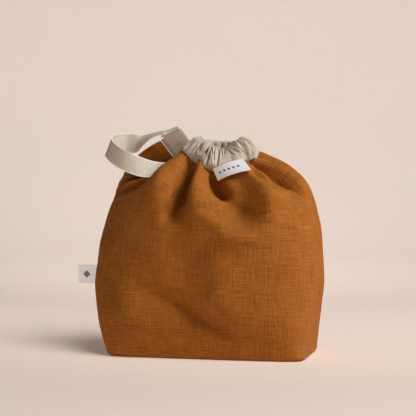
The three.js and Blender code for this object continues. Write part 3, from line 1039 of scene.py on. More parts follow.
@dataclass(frozen=True)
class TapeFinish:
    """Close flat tape with fine ribs along its length, and a painted highlight along both edges."""

    name: str
    deep: Colour
    light: Colour
    # The selvedge colour and its band width paint a highlight along both edges of the tape.
    selvedge: Colour
    width: float = 25.0
    selvedge_width: float = 1.7
    streak_width: float = 0.9
    streak_length: float = 30.0
    pick_width: float = 18.0
    pick_length: float = 0.8
    rib: float = 1.1
    twill_step: float = 0.7
    chevron: float = 8.0
    twill_relief: float = 0.4
    relief: float = 0.15
    relief_strength: float = 0.7
    roughness: float = 0.85
    sheen: float = 0.1

    def material(self) -> Material:
        """Makes the material.

        Returns:
            The tape's cotton.
        """
        shader = Shader(self.name)
        streak = shader.noise(Layer.WARP, self.streak_width, self.streak_length)
        pick = shader.noise(Layer.PICK, self.pick_width, self.pick_length)
        across, along = shader.split(shader.cloth(self.rib / math.tau, self.twill_step / math.tau))
        twill = (along + across.to_and_fro(self.chevron)).sine()
        side, _ = shader.split(shader.cloth(1.0, 1.0))
        half = self.width / 2
        # Band along both edges that takes the painted highlight colour.
        edge = shader.spread(abs(side - half), half - self.selvedge_width, half - self.selvedge_width / 2)
        ground = shader.mix(streak + pick - NOISE_MIDDLE, self.deep, self.light)
        colour = shader.mix(edge, ground, self.selvedge)
        shader.bump(twill * self.twill_relief + streak + pick, self.relief, self.relief_strength)
        return shader.finish(colour, self.roughness, self.sheen)


@dataclass(frozen=True)
class LabelFinish:
    """Smooth white label cloth with a plain woven row of lozenges."""

    name: str
    ground: Colour
    shade: Colour
    thread: Colour
    lozenge_pitch: float = 6.4
    lozenge_half: float = 2.1
    row_middle: float = 11.0
    row_start: float = 7.0
    row_end: float = 37.0
    satin_width: float = 2.5
    satin_length: float = 0.25
    tone_size: float = 9.0
    row_relief: float = 0.8
    relief: float = 0.08
    relief_strength: float = 0.6
    roughness: float = 0.6
    sheen: float = 0.05

    def material(self) -> Material:
        """Makes the material.

        Returns:
            The label cloth.
        """
        shader = Shader(self.name)
        satin = shader.noise(Layer.WARP, self.satin_width, self.satin_length)
        tone = shader.noise(Layer.SATIN_TONE, self.tone_size, self.tone_size)
        ground = shader.mix((satin + tone) * 0.5, self.shade, self.ground)
        across, along = shader.split(shader.cloth(1.0, 1.0))
        away = (across - self.row_start).to_and_fro(self.lozenge_pitch / 2)
        lozenge = (away + abs(along - self.row_middle)).below(self.lozenge_half)
        inside = across.above(self.row_start - self.lozenge_half) * across.below(self.row_end)
        row = lozenge * inside
        colour = shader.mix(row, ground, self.thread)
        shader.bump(satin + row * self.row_relief, self.relief, self.relief_strength)
        return shader.finish(colour, self.roughness, self.sheen)


@dataclass(frozen=True)
class GrainFinish:
    """Plain finish with a slight grain, for the thread and for the studio's floor."""

    name: str
    light: Colour
    deep: Colour
    scale: float
    roughness: float
    sheen: float

    def material(self) -> Material:
        """Makes the material.

        Returns:
            The grained finish.
        """
        shader = Shader(self.name)
        colour = shader.mix(shader.grain(self.scale), self.deep, self.light)
        return shader.finish(colour, self.roughness, self.sheen)


Finish = LinenFinish | TapeFinish | LabelFinish | GrainFinish

RUST_LINEN = LinenFinish("rust_linen", (0.23, 0.071, 0.008), (0.435, 0.146, 0.018), (0.58, 0.22, 0.037))
NATURAL_LINEN = LinenFinish(
    "natural_linen", (0.455, 0.38, 0.306), (0.66, 0.58, 0.49), (0.74, 0.67, 0.58),
    thread=0.6, streak=18.0, slub_share=0.3, streak_share=0.8, relief=0.25,
)
# The third colour is the painted highlight along the tape's edges.
COTTON_TAPE = TapeFinish("cotton_tape", (0.6, 0.53, 0.44), (0.78, 0.71, 0.61), (0.9, 0.86, 0.8))
WHITE_LABEL = LabelFinish("white_label", (0.93, 0.94, 0.94), (0.83, 0.84, 0.84), (0.06, 0.06, 0.07))
WHITE_TAG = LabelFinish(
    "white_tag", (0.88, 0.88, 0.86), (0.78, 0.78, 0.76), (0.16, 0.16, 0.16),
    lozenge_pitch=60.0, lozenge_half=5.0, row_middle=12.0, row_start=19.0, row_end=25.0,
)
NATURAL_THREAD = GrainFinish(
    "natural_thread", (0.72, 0.66, 0.58), (0.5, 0.44, 0.37), scale=900.0, roughness=0.7, sheen=0.1,
)
STUDIO_FLOOR = GrainFinish(
    "studio_floor", (0.87, 0.745, 0.665), (0.85, 0.725, 0.645), scale=2.0, roughness=0.9, sheen=0.0,
)


@cache
def material_of(finish: Finish) -> Material:
    """The finish's material, made once."""
    return finish.material()


@dataclass
class BodyPanel:
    """One linen panel, from the base seam under the edge and up to the casing seam."""

    shape: BagShape
    side: Side
    thick: float = 1.6
    hem_thick: float = 0.9
    hem_width: float = 9.0
    hem_start: float = 0.4
    hem_rise: float = 4.0
    hem_inside: float = 0.6
    seam_gap: float = 0.3
    columns: int = 232
    base_rows: int = 10
    wall_rows: int = 62
    wall_crowd: float = 1.6
    shoulder_rows: int = 52
    corner_share: float = 0.12
    corner_spacing: float = 0.74
    corner_crowd: float = 0.45
    cut_width: float = 0.395
    cut_height: float = 0.355
    corner_cut: float = 0.065
    weave_level: float = 0.75

    def _places(self) -> Array:
        """Spreads the columns along the cloth, closer together at the boxed corners.

        Returns:
            Places along the cloth.
        """
        start, end = self.side.run
        share = np.linspace(0.0, 1.0, self.columns + 1)
        turn = 2 * math.pi / self.corner_spacing
        crowd = share - self.corner_crowd * np.sin(turn * (share - self.corner_share)) / turn
        return start + (end - start) * (crowd - crowd[0]) / (crowd[-1] - crowd[0])

    def _levels(self) -> Array:
        """Levels from the floor to the casing seam, closer together at the lower edge."""
        wall = np.linspace(0.0, 1.0, self.wall_rows) ** self.wall_crowd
        return np.concatenate([wall, 1 + np.linspace(0.0, 1.0, self.shoulder_rows)[1:]])

    def _base(self, rim: Array) -> Array:
        """Lays the half of the base that belongs to the panel.

        Args:
            rim: Points along the lower edge.

        Returns:
            Rows of points from the base seam towards that edge.
        """
        run = np.linspace(0.0, 1.0, self.columns + 1)[:, None]
        middle = rim[0] + (rim[-1] - rim[0]) * run
        middle[:, 1] += self.side.base_side * self.seam_gap / 2
        share = np.linspace(0.0, 1.0, self.base_rows, endpoint=False)[:, None, None]
        return middle + (rim - middle) * share

    def _cloth_map(self, cloth: Array, level: Array, inset: Array) -> Array:
        """Lays the panel flat along its weave.

        Args:
            cloth: Places along the cloth of the points above the floor.
            level: Their levels.
            inset: How far each point of the base lies in from the lower edge.

        Returns:
            Cloth coordinates in metres, those of the base first.
        """
        places = cloth[0]
        girth = run_lengths(self.shape.plain_point(places, np.full_like(places, self.weave_level)))
        slant = float(np.mean(self.shape.drop_from_seam(places, np.ones_like(places))))
        height = self.shape.shoulder_height
        rise = np.where(level > 1, height + (level - 1) * slant, level * height)
        up = np.concatenate([-inset, rise]) * MM
        across = np.broadcast_to(girth * self.cut_width / girth[-1], up.shape)
        return np.stack([across, up], axis=-1)

    def build(self) -> Piece:
        """Builds the panel as a closed sheet.

        Returns:
            The panel.
        """
        cloth, level = np.meshgrid(self._places(), self._levels())
        wall = self.shape.body_point(cloth, level)
        base = self._base(wall[0])
        outer = np.concatenate([base, wall])
        normal = unit(np.cross(np.gradient(outer, axis=1), np.gradient(outer, axis=0)))
        normal[: self.base_rows + 1] = (0.0, 0.0, -1.0)
        slit = np.minimum(np.abs(cloth - LEFT_FRONT), np.abs(cloth - LEFT_BACK))
        near = 1 - ease(slit / self.hem_width - self.hem_start)
        hem = self.hem_thick * near * ease((level - 1) * self.hem_rise)
        hem = np.concatenate([np.zeros(base.shape[:-1]), hem])
        inner = outer - normal * (self.thick + hem * self.hem_inside)[..., None]
        outer = outer + normal * (hem * (1 - self.hem_inside))[..., None]
        for grid in (outer, inner):
            grid[:, 0] += unit(grid[:, 1] - grid[:, 0]) * self.seam_gap / 2
            grid[:, -1] += unit(grid[:, -2] - grid[:, -1]) * self.seam_gap / 2
        inset = np.abs(wall[0] - base)[..., 1]
        mesh = ClothMesh()
        mesh.add_sheet(outer, inner, self._cloth_map(cloth, level, inset))
        return mesh.make(self.side.node + "_linen", material_of(RUST_LINEN))

    def dress(self, piece: Piece) -> None:
        """Sets the panel in the frame.

        Args:
            piece: The panel.
        """
        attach(piece, BODY)
        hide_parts(self.side.node)


class CasingSide(Enum):
    """The two sides of the casing's tunnel: the way each faces and where its gathers start."""

    OUTER = (1.0, 0.4)
    INNER = (-1.0, 2.6)


@dataclass
class Casing:
    """Gathered linen tunnel round the neck."""

    shape: BagShape
    start: float = 201.0
    steps: int = 820
    rows: int = 18
    low_level: float = 1.0
    top_level: float = 30.5
    arc_rows: int = 6
    arc_rise: float = 1.6
    hollow_rise: float = 0.4
    fine_count: float = 71.0
    fine_size: float = 0.5
    fine_drift: float = 2.3
    drift_count: float = 5.0
    puff_wide: float = 7.0
    puff_tall: float = 17.0
    puff_size: float = 5.0
    puff_slice: float = 0.5
    ruffle_count: float = 113.0
    ruffle_size: float = 1.8
    ruffle_start: float = 18.0
    ruffle_rise: float = 8.0
    full_gather: float = 3.0
    seam_clear: float = 6.0
    least_push: float = -1.0
    lift: float = 1.2
    stitch_height: float = 5.0
    stitch_lift: float = 0.15
    stitch_margin: int = 4
    cut_length: float = 0.40
    cut_height: float = 0.066
    levels: SmoothTable = field(default_factory=lambda: SmoothTable(CASING_LEVELS, "high"))

    def places(self) -> Array:
        """Places along the cloth of each step round the casing."""
        return np.linspace(self.start, LEFT_BACK, self.steps + 1)

    def pleat_offset(self, angle: Array, high: Array) -> Array:
        """Sums how far pressed creases, puffs and fine gathers move the outer side.

        Args:
            angle: Angles about the neck, in degrees.
            high: Heights above the seam.

        Returns:
            Offsets in millimetres.
        """
        turn = np.radians(angle)
        drift = self.fine_drift * np.sin(self.drift_count * turn)
        wave = np.abs(np.sin(self.fine_count / 2 * turn + drift))
        edge_wave = np.abs(np.sin(self.ruffle_count / 2 * turn + 2 * drift))
        rough = np.minimum(self.shape.necks.read(angle, "gather") / self.full_gather, 1.0)
        middle = np.sin(math.pi * np.clip(high / self.top_level, 0, 1))
        top = ease((high - self.ruffle_start) / self.ruffle_rise)
        place = np.broadcast_arrays(angle / self.puff_wide, high / self.puff_tall, self.puff_slice)
        puff = np.abs(soft_noise(np.stack(place, axis=-1), 1.0))
        swell = self.lift + self.fine_size * wave + self.puff_size * puff
        gathers = rough * (swell * middle + self.ruffle_size * edge_wave * top)
        return swell_sum(PLEATS, angle, high) + gathers

    def side_points(self, cloth: Array, high: Array, side: CasingSide, hollow: bool) -> Array:
        """Finds points up one side of the tunnel.

        Args:
            cloth: Places along the cloth, as a column.
            high: Heights above the seam, as a row.
            side: The side.
            hollow: Whether the points lie on the hollow and not on the skin.

        Returns:
            Points in millimetres.
        """
        way, phase = side.value
        angle = self.shape.folds.read(cloth, "neck_angle")
        seam = self.shape.neck_point(angle[:, 0])[:, None, :]
        ways = self.shape.neck_frame(angle[:, 0])
        fold = self.shape.fold_offset(cloth, np.zeros_like(cloth))
        level = {name: self.levels.read(high, name) for name in CasingLevel._fields}
        gather = way * self.shape.gather_at(angle, phase) * level["gather_share"]
        if side is CasingSide.OUTER:
            creased = np.maximum(gather + self.pleat_offset(angle, high), self.least_push)
            gather = creased * ease(high / self.seam_clear)
        push = way * np.maximum(way * fold, 0.0) * level["fold_share"]
        half = level["hollow_half"] if hollow else level["half"]
        edge = fold * level["seam_share"] + push + gather + way * half
        rise = np.broadcast_to(level["hollow_high"] if hollow else high, edge.shape)
        return seam + ways.out[:, None, :] * edge[..., None] + ways.up[:, None, :] * rise[..., None]

    def loops(self, hollow: bool) -> Array:
        """Closes the two sides over the top.

        Args:
            hollow: Whether the loops lie on the hollow and not on the skin.

        Returns:
            A loop of points at each step.
        """
        cloth = self.places()[:, None]
        high = np.linspace(self.low_level, self.top_level, self.rows)[None, :]
        outer = self.side_points(cloth, high, CasingSide.OUTER, hollow)
        inner = self.side_points(cloth, high, CasingSide.INNER, hollow)
        up = self.shape.neck_frame(self.shape.folds.read(cloth[:, 0], "neck_angle")).up
        middle = (outer[:, -1] + inner[:, -1]) / 2
        half = (outer[:, -1] - inner[:, -1]) / 2
        turns = np.linspace(0.0, math.pi, self.arc_rows + 2)[1:-1]
        rise = self.hollow_rise * self.arc_rise if hollow else self.arc_rise
        arc = [middle + half * math.cos(turn) + up * rise * math.sin(turn) for turn in turns]
        return np.concatenate([outer, np.stack(arc, axis=1), inner[:, ::-1]], axis=1)

    def build(self) -> Piece:
        """Builds the tunnel with its hollow, open at both ends.

        Returns:
            The casing.
        """
        mesh = ClothMesh()
        skin = self.loops(False)
        size = skin.shape[1]
        around = np.linspace(0.0, self.cut_height, size + 1)
        along = np.linspace(0.0, self.cut_length, self.steps + 1)
        cloth = np.stack(np.meshgrid(along, around, indexing="ij"), axis=-1)
        wrap = [*range(size), 0]
        skin_index = mesh.add_points(skin)[:, wrap]
        hollow_index = mesh.add_points(self.loops(True))[:, wrap]
        mesh.add_faces(skin_index, cloth, turned=True)
        mesh.add_faces(hollow_index, cloth)
        for end, turned in ((0, False), (-1, True)):
            rim = np.stack([skin_index[end], hollow_index[end]])
            mesh.add_faces(rim, np.stack([cloth[end], cloth[end]]), turned)
        return mesh.make("casing_linen", material_of(NATURAL_LINEN))

    def dress(self, piece: Piece) -> None:
        """Sets the casing in the frame.

        Args:
            piece: The casing.
        """
        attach(piece, BODY)
        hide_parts("casing")

    def stitch_line(self) -> Array:
        """Finds the line of stitches along the outer side, just above the seam.

        Returns:
            Points in millimetres, lifted off the cloth.
        """
        cloth = self.places()[self.stitch_margin: -self.stitch_margin, None]
        high = np.full((1, 1), self.stitch_height)
        points = self.side_points(cloth, high, CasingSide.OUTER, False)[:, 0]
        out = self.shape.neck_frame(self.shape.folds.read(cloth[:, 0], "neck_angle")).out
        return points + out * self.stitch_lift


def smooth_route(points: Array, shares: Array) -> Array:
    """Runs a smooth curve through given points, even in its bends.

    Args:
        points: Points that the curve passes.
        shares: Shares of the way from the first point to the last.

    Returns:
        Points on the curve.
    """
    first = 2 * points[0] - points[1]
    final = 2 * points[-1] - points[-2]
    knots = np.concatenate([[first], points, [final]])
    result = []
    for share in shares:
        place = share * (len(points) - 1)
        index = min(int(place), len(points) - 2)
        weight = place - index
        p0, p1, p2, p3 = knots[index: index + 4]
        gaps = [math.sqrt(np.linalg.norm(b - a)) for a, b in ((p0, p1), (p1, p2), (p2, p3))]
        middle = gaps[1] if gaps[1] > TINY_GAP else 1.0
        before = gaps[0] if gaps[0] > TINY_GAP else middle
        after = gaps[2] if gaps[2] > TINY_GAP else middle
        leave = ((p1 - p0) / before - (p2 - p0) / (before + middle) + (p2 - p1) / middle) * middle
        arrive = ((p2 - p1) / middle - (p3 - p1) / (middle + after) + (p3 - p2) / after) * middle
        bend = weight * (1 - weight) ** 2 * leave + weight**2 * (weight - 1) * arrive
        result.append(p1 + (p2 - p1) * ease(weight) + bend)
    return np.array(result)


class TapeRun(NamedTuple):
    """Stretch of tape: its middle line, the way its upper edge points and the way it faces."""

    middle: Array
    up: Array
    out: Array


@dataclass
class TapeLoop:
    """Flat cotton tape that runs through the casing and out into a hand loop."""

    shape: BagShape
    casing: Casing
    width: float = 25.0
    thick: float = 1.3
    lift: float = 17.3
    lead: float = 2.5
    loop_steps: int = 260
    casing_steps: int = 96
    join_step: int = 68
    stride: float = 0.5
    across: int = 10
    selvedge: float = 0.3
    selvedge_spread: float = 0.12
    selvedge_middle: float = 0.5
    flat_length: float = 0.5

    def _inside(self, steps: Array) -> TapeRun:
        """Runs the tape inside the casing.

        Args:
            steps: Steps along the casing.

        Returns:
            The stretch at those steps.
        """
        cloth = self.casing.start + (LEFT_BACK - self.casing.start) * steps / self.casing_steps
        angle = self.shape.folds.read(cloth, "neck_angle")
        ways = self.shape.neck_frame(angle)
        return TapeRun(self.shape.neck_point(angle) + ways.up * self.lift, ways.up, ways.out)

    def stations(self) -> TapeRun:
        """Runs the tape round the back, out into the hand loop and round the front.

        Returns:
            The whole tape.
        """
        back = self._inside(np.arange(self.join_step + 1, self.casing_steps + self.stride / 2, self.stride))
        front = self._inside(np.arange(0.0, self.join_step, self.stride))
        ends = self.shape.folds.read(np.array([LEFT_BACK, self.casing.start]), "neck_angle")
        along = self.shape.neck_frame(ends).along
        leave = [back.middle[-1], back.middle[-1] + along[0] * self.lead]
        arrive = [front.middle[0] - along[1] * self.lead, front.middle[0]]
        hand = np.array(LOOP_POINTS, float)
        shares = np.linspace(0.0, 1.0, self.loop_steps + 1)[1:-1]
        middle = smooth_route(np.concatenate([leave, hand[:, :3], arrive]), shares)
        ups = np.concatenate([[back.up[-1]] * 2, hand[:, 3:], [front.up[0]] * 2])
        up = unit(smooth_route(ups, shares))
        loop = TapeRun(middle, up, unit(np.cross(np.gradient(middle, axis=0), up)))
        return TapeRun(*(np.concatenate(part) for part in zip(back, loop, front)))

    def build(self) -> Piece:
        """Builds the tape with slightly thicker selvedges.

        Returns:
            The tape.
        """
        run = self.stations()
        share = np.linspace(-1.0, 1.0, self.across + 1)
        spread = run.up[:, None, :] * (share * self.width / 2)[None, :, None]
        ridge = np.exp(-(((1 - np.abs(share)) / self.selvedge_spread) ** 2)) - self.selvedge_middle
        half = self.thick / 2 + self.selvedge * ridge
        face = run.middle[:, None, :] + spread
        push = run.out[:, None, :] * half[None, :, None]
        length = run_lengths(run.middle) * MM
        along, wide = np.meshgrid(length, (share + 1) / 2 * self.width * MM, indexing="ij")
        mesh = ClothMesh()
        mesh.add_sheet(face - push, face + push, np.stack([wide, along], axis=-1))
        return mesh.make("tape_loop", material_of(COTTON_TAPE))

    def dress(self, piece: Piece) -> None:
        """Sets the tape in the frame.

        Args:
            piece: The tape.
        """
        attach(piece, BODY)
        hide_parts("tape")


@dataclass
class Label:
    """White label that hangs from the casing seam over the front."""

    corners: tuple[tuple[float, float, float], ...] = (
        (14, -32.3, 235), (51, -25.4, 248.2), (23.4, -42.5, 221.5), (66.5, -43, 235.2),
    )
    thick: float = 1.0
    bow: float = 3.2
    columns: int = 48
    rows: int = 24
    width: float = 44.0
    height: float = 22.0

    def build(self) -> Piece:
        """Builds the label as a bowed sheet.

        Returns:
            The label.
        """
        top_left, top_right, low_left, low_right = np.array(self.corners, float)
        down = np.linspace(0.0, 1.0, self.rows + 1)[:, None, None]
        share = np.linspace(0.0, 1.0, self.columns + 1)[None, :, None]
        left = top_left + (low_left - top_left) * down
        right = top_right + (low_right - top_right) * down
        out = unit(np.cross(unit(low_left - top_left), unit(right - left)))
        inner = left + (right - left) * share + out * self.bow * np.sin(math.pi * share)
        outer = inner + out * self.thick
        across = share[..., 0] * self.width * MM
        along = (1 - down[..., 0]) * self.height * MM
        cloth = np.stack(np.broadcast_arrays(across, along), axis=-1)
        mesh = ClothMesh()
        mesh.add_sheet(outer[::-1], inner[::-1], cloth[::-1])
        return mesh.make("label_cloth", material_of(WHITE_LABEL))

    def dress(self, piece: Piece) -> None:
        """Sets the label in the frame.

        Args:
            piece: The label.
        """
        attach(piece, BODY)
        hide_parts("label")


@dataclass
class SideTag:
    """Folded tag that stands out of the left side seam."""

    shape: BagShape
    width: float = 24.0
    reach: float = 32.0
    layer: float = 1.0
    slot: float = 0.4
    root: float = 0.6
    height: float = 85.0
    run_steps: int = 24
    fold_steps: int = 10
    columns: int = 20

    def build(self) -> Piece:
        """Builds the tag as one strip folded back on itself.

        Returns:
            The tag.
        """
        level = np.array((self.height + self.width / 2) / self.shape.shoulder_height)
        seam = self.shape.plain_point(np.array(LEFT_FRONT), level)
        radius = self.slot / 2 + self.layer / 2
        straight = np.linspace(-self.root, -self.reach + radius + self.layer / 2, self.run_steps)
        turns = np.linspace(0.0, math.pi, self.fold_steps)[1:-1]
        bend = np.stack([straight[-1] - radius * np.sin(turns), -radius * np.cos(turns)], axis=-1)
        front = np.stack([straight, np.full_like(straight, -radius)], axis=-1)
        back = front[::-1] * (1, -1)
        line = np.concatenate([front, bend, back])
        tangent = unit(np.gradient(line, axis=0))
        normal = np.stack([tangent[:, 1], -tangent[:, 0]], axis=-1)
        up = np.linspace(0.0, self.width, self.columns + 1)
        grids = []
        for half in (self.layer / 2, -self.layer / 2):
            edge = (seam[:2] + line - normal * half)[:, None, :]
            grid = np.broadcast_arrays(edge[..., 0], edge[..., 1], self.height + up[None, :])
            grids.append(np.stack(grid, axis=-1))
        along, wide = np.meshgrid(run_lengths(line) * MM, up * MM, indexing="ij")
        mesh = ClothMesh()
        mesh.add_sheet(*grids, np.stack([along, wide], axis=-1))
        return mesh.make("tag_cloth", material_of(WHITE_TAG))

    def dress(self, piece: Piece) -> None:
        """Sets the tag in the frame.

        Args:
            piece: The tag.
        """
        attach(piece, BODY)
        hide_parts("side_tag")


@dataclass
class StitchRun:
    """Row of stitches along the casing, just above its seam."""

    casing: Casing
    name: str = "casing_stitches"
    pitch: float = 3.2
    length: float = 2.5
    width: float = 0.75
    segments: int = 8
    rings: int = 5

    def _tree(self) -> bpy.types.NodeTree:
        """Builds the node tree that sets a stitch at each step of a line.

        Returns:
            The tree, with named inputs for the stitch's sizes.
        """
        tree = bpy.data.node_groups.new("stitches_along_line", "GeometryNodeTree")
        sockets = (
            ("Line", "INPUT", "Geometry"),
            ("Pitch", "INPUT", "Float"),
            ("Length", "INPUT", "Float"),
            ("Width", "INPUT", "Float"),
            ("Thread", "INPUT", "Material"),
            ("Stitches", "OUTPUT", "Geometry"),
        )
        for name, way, kind in sockets:
            tree.interface.new_socket(name, in_out=way, socket_type="NodeSocket" + kind)
        kinds = {
            "given": "NodeGroupInput",
            "result": "NodeGroupOutput",
            "curve": "GeometryNodeMeshToCurve",
            "steps": "GeometryNodeResampleCurve",
            "stitch": "GeometryNodeMeshUVSphere",
            "way": "GeometryNodeInputTangent",
            "turn": "FunctionNodeAlignRotationToVector",
            "size": "ShaderNodeCombineXYZ",
            "placed": "GeometryNodeInstanceOnPoints",
            "real": "GeometryNodeRealizeInstances",
            "painted": "GeometryNodeSetMaterial",
        }
        nodes = {name: tree.nodes.new(kind) for name, kind in kinds.items()}
        nodes["steps"].mode = "LENGTH"
        nodes["turn"].axis = "X"
        ball = {"Segments": self.segments, "Rings": self.rings, "Radius": 0.5}
        for name, value in ball.items():
            nodes["stitch"].inputs[name].default_value = value
        links = (
            ("given", "Line", "curve", "Mesh"),
            ("curve", "Curve", "steps", "Curve"),
            ("given", "Pitch", "steps", "Length"),
            ("way", "Tangent", "turn", "Vector"),
            ("given", "Length", "size", "X"),
            ("given", "Width", "size", "Y"),
            ("given", "Width", "size", "Z"),
            ("steps", "Curve", "placed", "Points"),
            ("stitch", "Mesh", "placed", "Instance"),
            ("turn", "Rotation", "placed", "Rotation"),
            ("size", "Vector", "placed", "Scale"),
            ("placed", "Instances", "real", "Geometry"),
            ("real", "Geometry", "painted", "Geometry"),
            ("given", "Thread", "painted", "Material"),
            ("painted", "Geometry", "result", "Stitches"),
        )
        for source, leaves, target, enters in links:
            tree.links.new(nodes[source].outputs[leaves], nodes[target].inputs[enters])
        return tree

    def build(self) -> Piece:
        """Sews along the casing.

        Returns:
            One mesh of all the stitches.
        """
        line = self.casing.stitch_line() * MM
        edges = [(index, index + 1) for index in range(len(line) - 1)]
        guide_mesh = bpy.data.meshes.new(self.name + "_line")
        guide_mesh.from_pydata(line.tolist(), edges, [])
        guide = add_object(self.name + "_line", guide_mesh)
        modifier = guide.modifiers.new("stitches", "NODES")
        tree = self._tree()
        modifier.node_group = tree
        given = {
            "Pitch": self.pitch * MM,
            "Length": self.length * MM,
            "Width": self.width * MM,
            "Thread": material_of(NATURAL_THREAD),
        }
        for item in tree.interface.items_tree:
            if item.name in given:
                modifier[item.identifier] = given[item.name]
        bpy.context.view_layer.update()
        graph = bpy.context.evaluated_depsgraph_get()
        mesh = bpy.data.meshes.new_from_object(guide.evaluated_get(graph))
        mesh.name = self.name
        mesh.shade_smooth()
        guide.modifiers.remove(modifier)
        bpy.data.objects.remove(guide)
        return add_object(self.name, mesh)

    def dress(self, piece: Piece) -> None:
        """Sets the stitches in the frame."""
        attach(piece, BODY)


class LampKind(Enum):
    """Kinds of lamp: a soft disk, and a cone that casts no shadow."""

    DISK = "AREA"
    CONE = "SPOT"


class Reach(Enum):
    """What a lamp lights, with the name of the collection that says so."""

    ALL = "all"
    BAG = "all_but_stage"
    STAGE = "stage_only"
    TAG = "tag_alone"


class StudioPlace(NamedTuple):
    """Place seen from the middle of the floor: turn from the camera's side, lift and distance."""

    turn: float
    lift: float
    distance: float


BAG_MIDDLE = StudioPlace(0, 90, 0.13)


class Lamp(NamedTuple):
    """Studio lamp. Its size is the disk's diameter or the cone's angle in degrees, its power is in watts."""

    name: str
    kind: LampKind
    reach: Reach
    size: float
    power: float
    colour: Colour
    place: StudioPlace
    aim: StudioPlace = BAG_MIDDLE


LAMPS = (
    Lamp("key", LampKind.DISK, Reach.BAG, 1.5, 99, (1.0, 0.995, 0.985), StudioPlace(62, 44, 3.2)),
    Lamp("soft_key", LampKind.DISK, Reach.STAGE, 2.2, 96, (1.0, 0.99, 0.975), StudioPlace(40, 54, 3.3)),
    Lamp("fill", LampKind.DISK, Reach.ALL, 1.6, 0.6, (1.0, 0.98, 0.96), StudioPlace(-45, 30, 2.4)),
    Lamp("wall", LampKind.CONE, Reach.STAGE, 44, 530, (0.97, 0.985, 1.0), StudioPlace(0, 40, 2.2),
         StudioPlace(180, 7, 3.4)),
    Lamp("floor", LampKind.CONE, Reach.STAGE, 44, 90, (1.0, 0.98, 0.96), StudioPlace(0, 70, 2.8),
         StudioPlace(180, 0, 0.9)),
)
TAG_LAMP = Lamp("tag_lamp", LampKind.DISK, Reach.TAG, 0.6, 7.5, (1.0, 1.0, 1.0), StudioPlace(-25, 25, 1.6))


def stand(holder: Piece, place: Vector, aim: Vector) -> None:
    """Stands a lamp or the camera at a place and turns it to a point."""
    holder.location = place
    holder.rotation_euler = (aim - place).to_track_quat("-Z", "Y").to_euler()


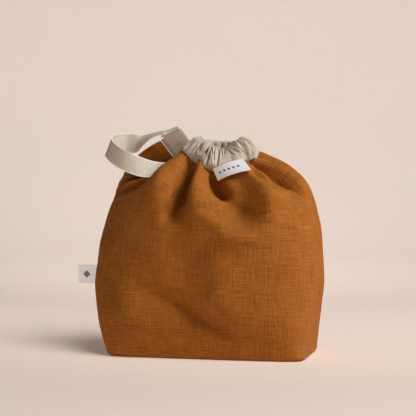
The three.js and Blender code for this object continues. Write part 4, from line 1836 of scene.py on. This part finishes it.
@dataclass
class Studio:
    """Pale floor that sweeps up all round, soft light and the camera."""

    camera_turn: float = 16.0
    camera_away: float = 2.0
    camera_height: float = 0.278
    aim_aside: float = -0.0018
    aim_height: float = 0.1854
    focal_pixels: float = 1570.0
    image_pixels: float = 416.0
    sensor: float = 36.0
    inner_rings: tuple[float, ...] = (0.02, 0.5, 1.1)
    floor_radius: float = 1.6
    cove_radius: float = 2.2
    cove_rows: int = 14
    wall_height: float = 2.4
    turns: int = 96
    room_colour: Colour = (1.0, 0.97, 0.95)
    room_strength: float = 0.008
    groups: dict[Reach, bpy.types.Collection] = field(default_factory=dict)

    def _point(self, place: StudioPlace) -> Vector:
        """Finds a place in the frame.

        Args:
            place: The place.

        Returns:
            Its point in metres.
        """
        around = math.radians(self.camera_turn + place.turn)
        high = math.radians(place.lift)
        level = math.cos(high) * place.distance
        return Vector((math.sin(around) * level, -math.cos(around) * level, math.sin(high) * place.distance))

    def _group(self, reach: Reach, piece: Piece) -> bpy.types.Collection:
        """Makes the collection that says what the lamps of one reach light.

        Args:
            reach: The reach.
            piece: The piece that it names.

        Returns:
            The collection.
        """
        group = bpy.data.collections.new(reach.value)
        group.objects.link(piece)
        self.groups[reach] = group
        return group

    def floor(self) -> None:
        """Makes the floor with its cove, and lets lamps light it alone or leave it out."""
        arc = np.linspace(0.0, math.pi / 2, self.cove_rows)
        flat = np.zeros(len(self.inner_rings))
        outer = self.floor_radius + self.cove_radius
        radii = [*self.inner_rings, *(self.floor_radius + self.cove_radius * np.sin(arc)), outer]
        heights = [*flat, *(self.cove_radius * (1 - np.cos(arc))), self.wall_height]
        around = np.linspace(0.0, 2 * math.pi, self.turns, endpoint=False)
        steps = [(step, (step + 1) % self.turns) for step in range(self.turns)]
        points = [(0.0, 0.0, 0.0)]
        faces = [(0, 1 + step, 1 + following) for step, following in steps]
        for radius, height in zip(radii, heights):
            points += [(radius * math.cos(turn), radius * math.sin(turn), height) for turn in around]
        for ring in range(len(radii) - 1):
            low = 1 + ring * self.turns
            high = low + self.turns
            faces += [(low + step, high + step, high + after, low + after) for step, after in steps]
        mesh = bpy.data.meshes.new("floor")
        mesh.from_pydata(points, [], faces)
        mesh.materials.append(material_of(STUDIO_FLOOR))
        mesh.shade_smooth()
        floor = add_object("floor", mesh)
        self._group(Reach.STAGE, floor)
        rest = self._group(Reach.BAG, floor)
        rest.collection_objects[0].light_linking.link_state = "EXCLUDE"

    def light(self, lamp: Lamp, aim: Vector) -> None:
        """Adds a lamp.

        Args:
            lamp: The lamp.
            aim: Point that it faces.
        """
        data = bpy.data.lights.new(lamp.name, lamp.kind.value)
        data.energy = lamp.power
        data.color = lamp.colour
        if lamp.kind is LampKind.DISK:
            data.shape = "DISK"
            data.size = lamp.size
        else:
            data.spot_size = math.radians(lamp.size)
            data.spot_blend = 1.0
            data.use_shadow = False
        holder = add_object(lamp.name, data)
        stand(holder, self._point(lamp.place), aim)
        holder.light_linking.receiver_collection = self.groups.get(lamp.reach)

    def light_tag(self, tag: Piece) -> None:
        """Lifts the side tag out of the bag's shade.

        Args:
            tag: The tag.
        """
        self._group(Reach.TAG, tag)
        corners = [Vector(corner) for corner in tag.bound_box]
        self.light(TAG_LAMP, sum(corners, Vector()) / len(corners))

    def world(self) -> None:
        """Sets the light of the room."""
        room = bpy.data.worlds.new("room")
        room.use_nodes = True
        background = room.node_tree.nodes["Background"]
        background.inputs["Color"].default_value = (*self.room_colour, 1.0)
        background.inputs["Strength"].default_value = self.room_strength
        bpy.context.scene.world = room

    def camera(self) -> None:
        """Sets the camera at the photograph's angle."""
        lens = bpy.data.cameras.new("camera")
        lens.sensor_width = self.sensor
        lens.lens = self.focal_pixels / self.image_pixels * self.sensor
        holder = add_object("camera", lens)
        around = math.radians(self.camera_turn)
        aside = Vector((math.cos(around), math.sin(around), 0.0)) * self.aim_aside
        place = self._point(StudioPlace(0.0, 0.0, self.camera_away)) + Vector((0.0, 0.0, self.camera_height))
        stand(holder, place, aside + Vector((0.0, 0.0, self.aim_height)))
        bpy.context.scene.camera = holder

    def set_up(self) -> None:
        """Sets floor, light and camera."""
        self.floor()
        self.world()
        for lamp in LAMPS:
            self.light(lamp, self._point(lamp.aim))
        self.camera()
        bpy.context.scene.view_settings.view_transform = "Standard"


def main() -> None:
    """Builds the bag piece by piece."""
    logging.basicConfig(level=logging.INFO, format="%(name)s: %(message)s")
    studio = Studio()
    studio.set_up()
    shape = BagShape()
    casing = Casing(shape)
    tag = SideTag(shape)
    panels = [BodyPanel(shape, side) for side in Side]
    for maker in (*panels, casing, TapeLoop(shape, casing), Label(), tag, StitchRun(casing)):
        piece = maker.build()
        maker.dress(piece)
        LOG.info("%s: %d faces", piece.name, len(piece.data.polygons))
        if maker is tag:
            studio.light_tag(piece)


if __name__ == "__main__":
    main()
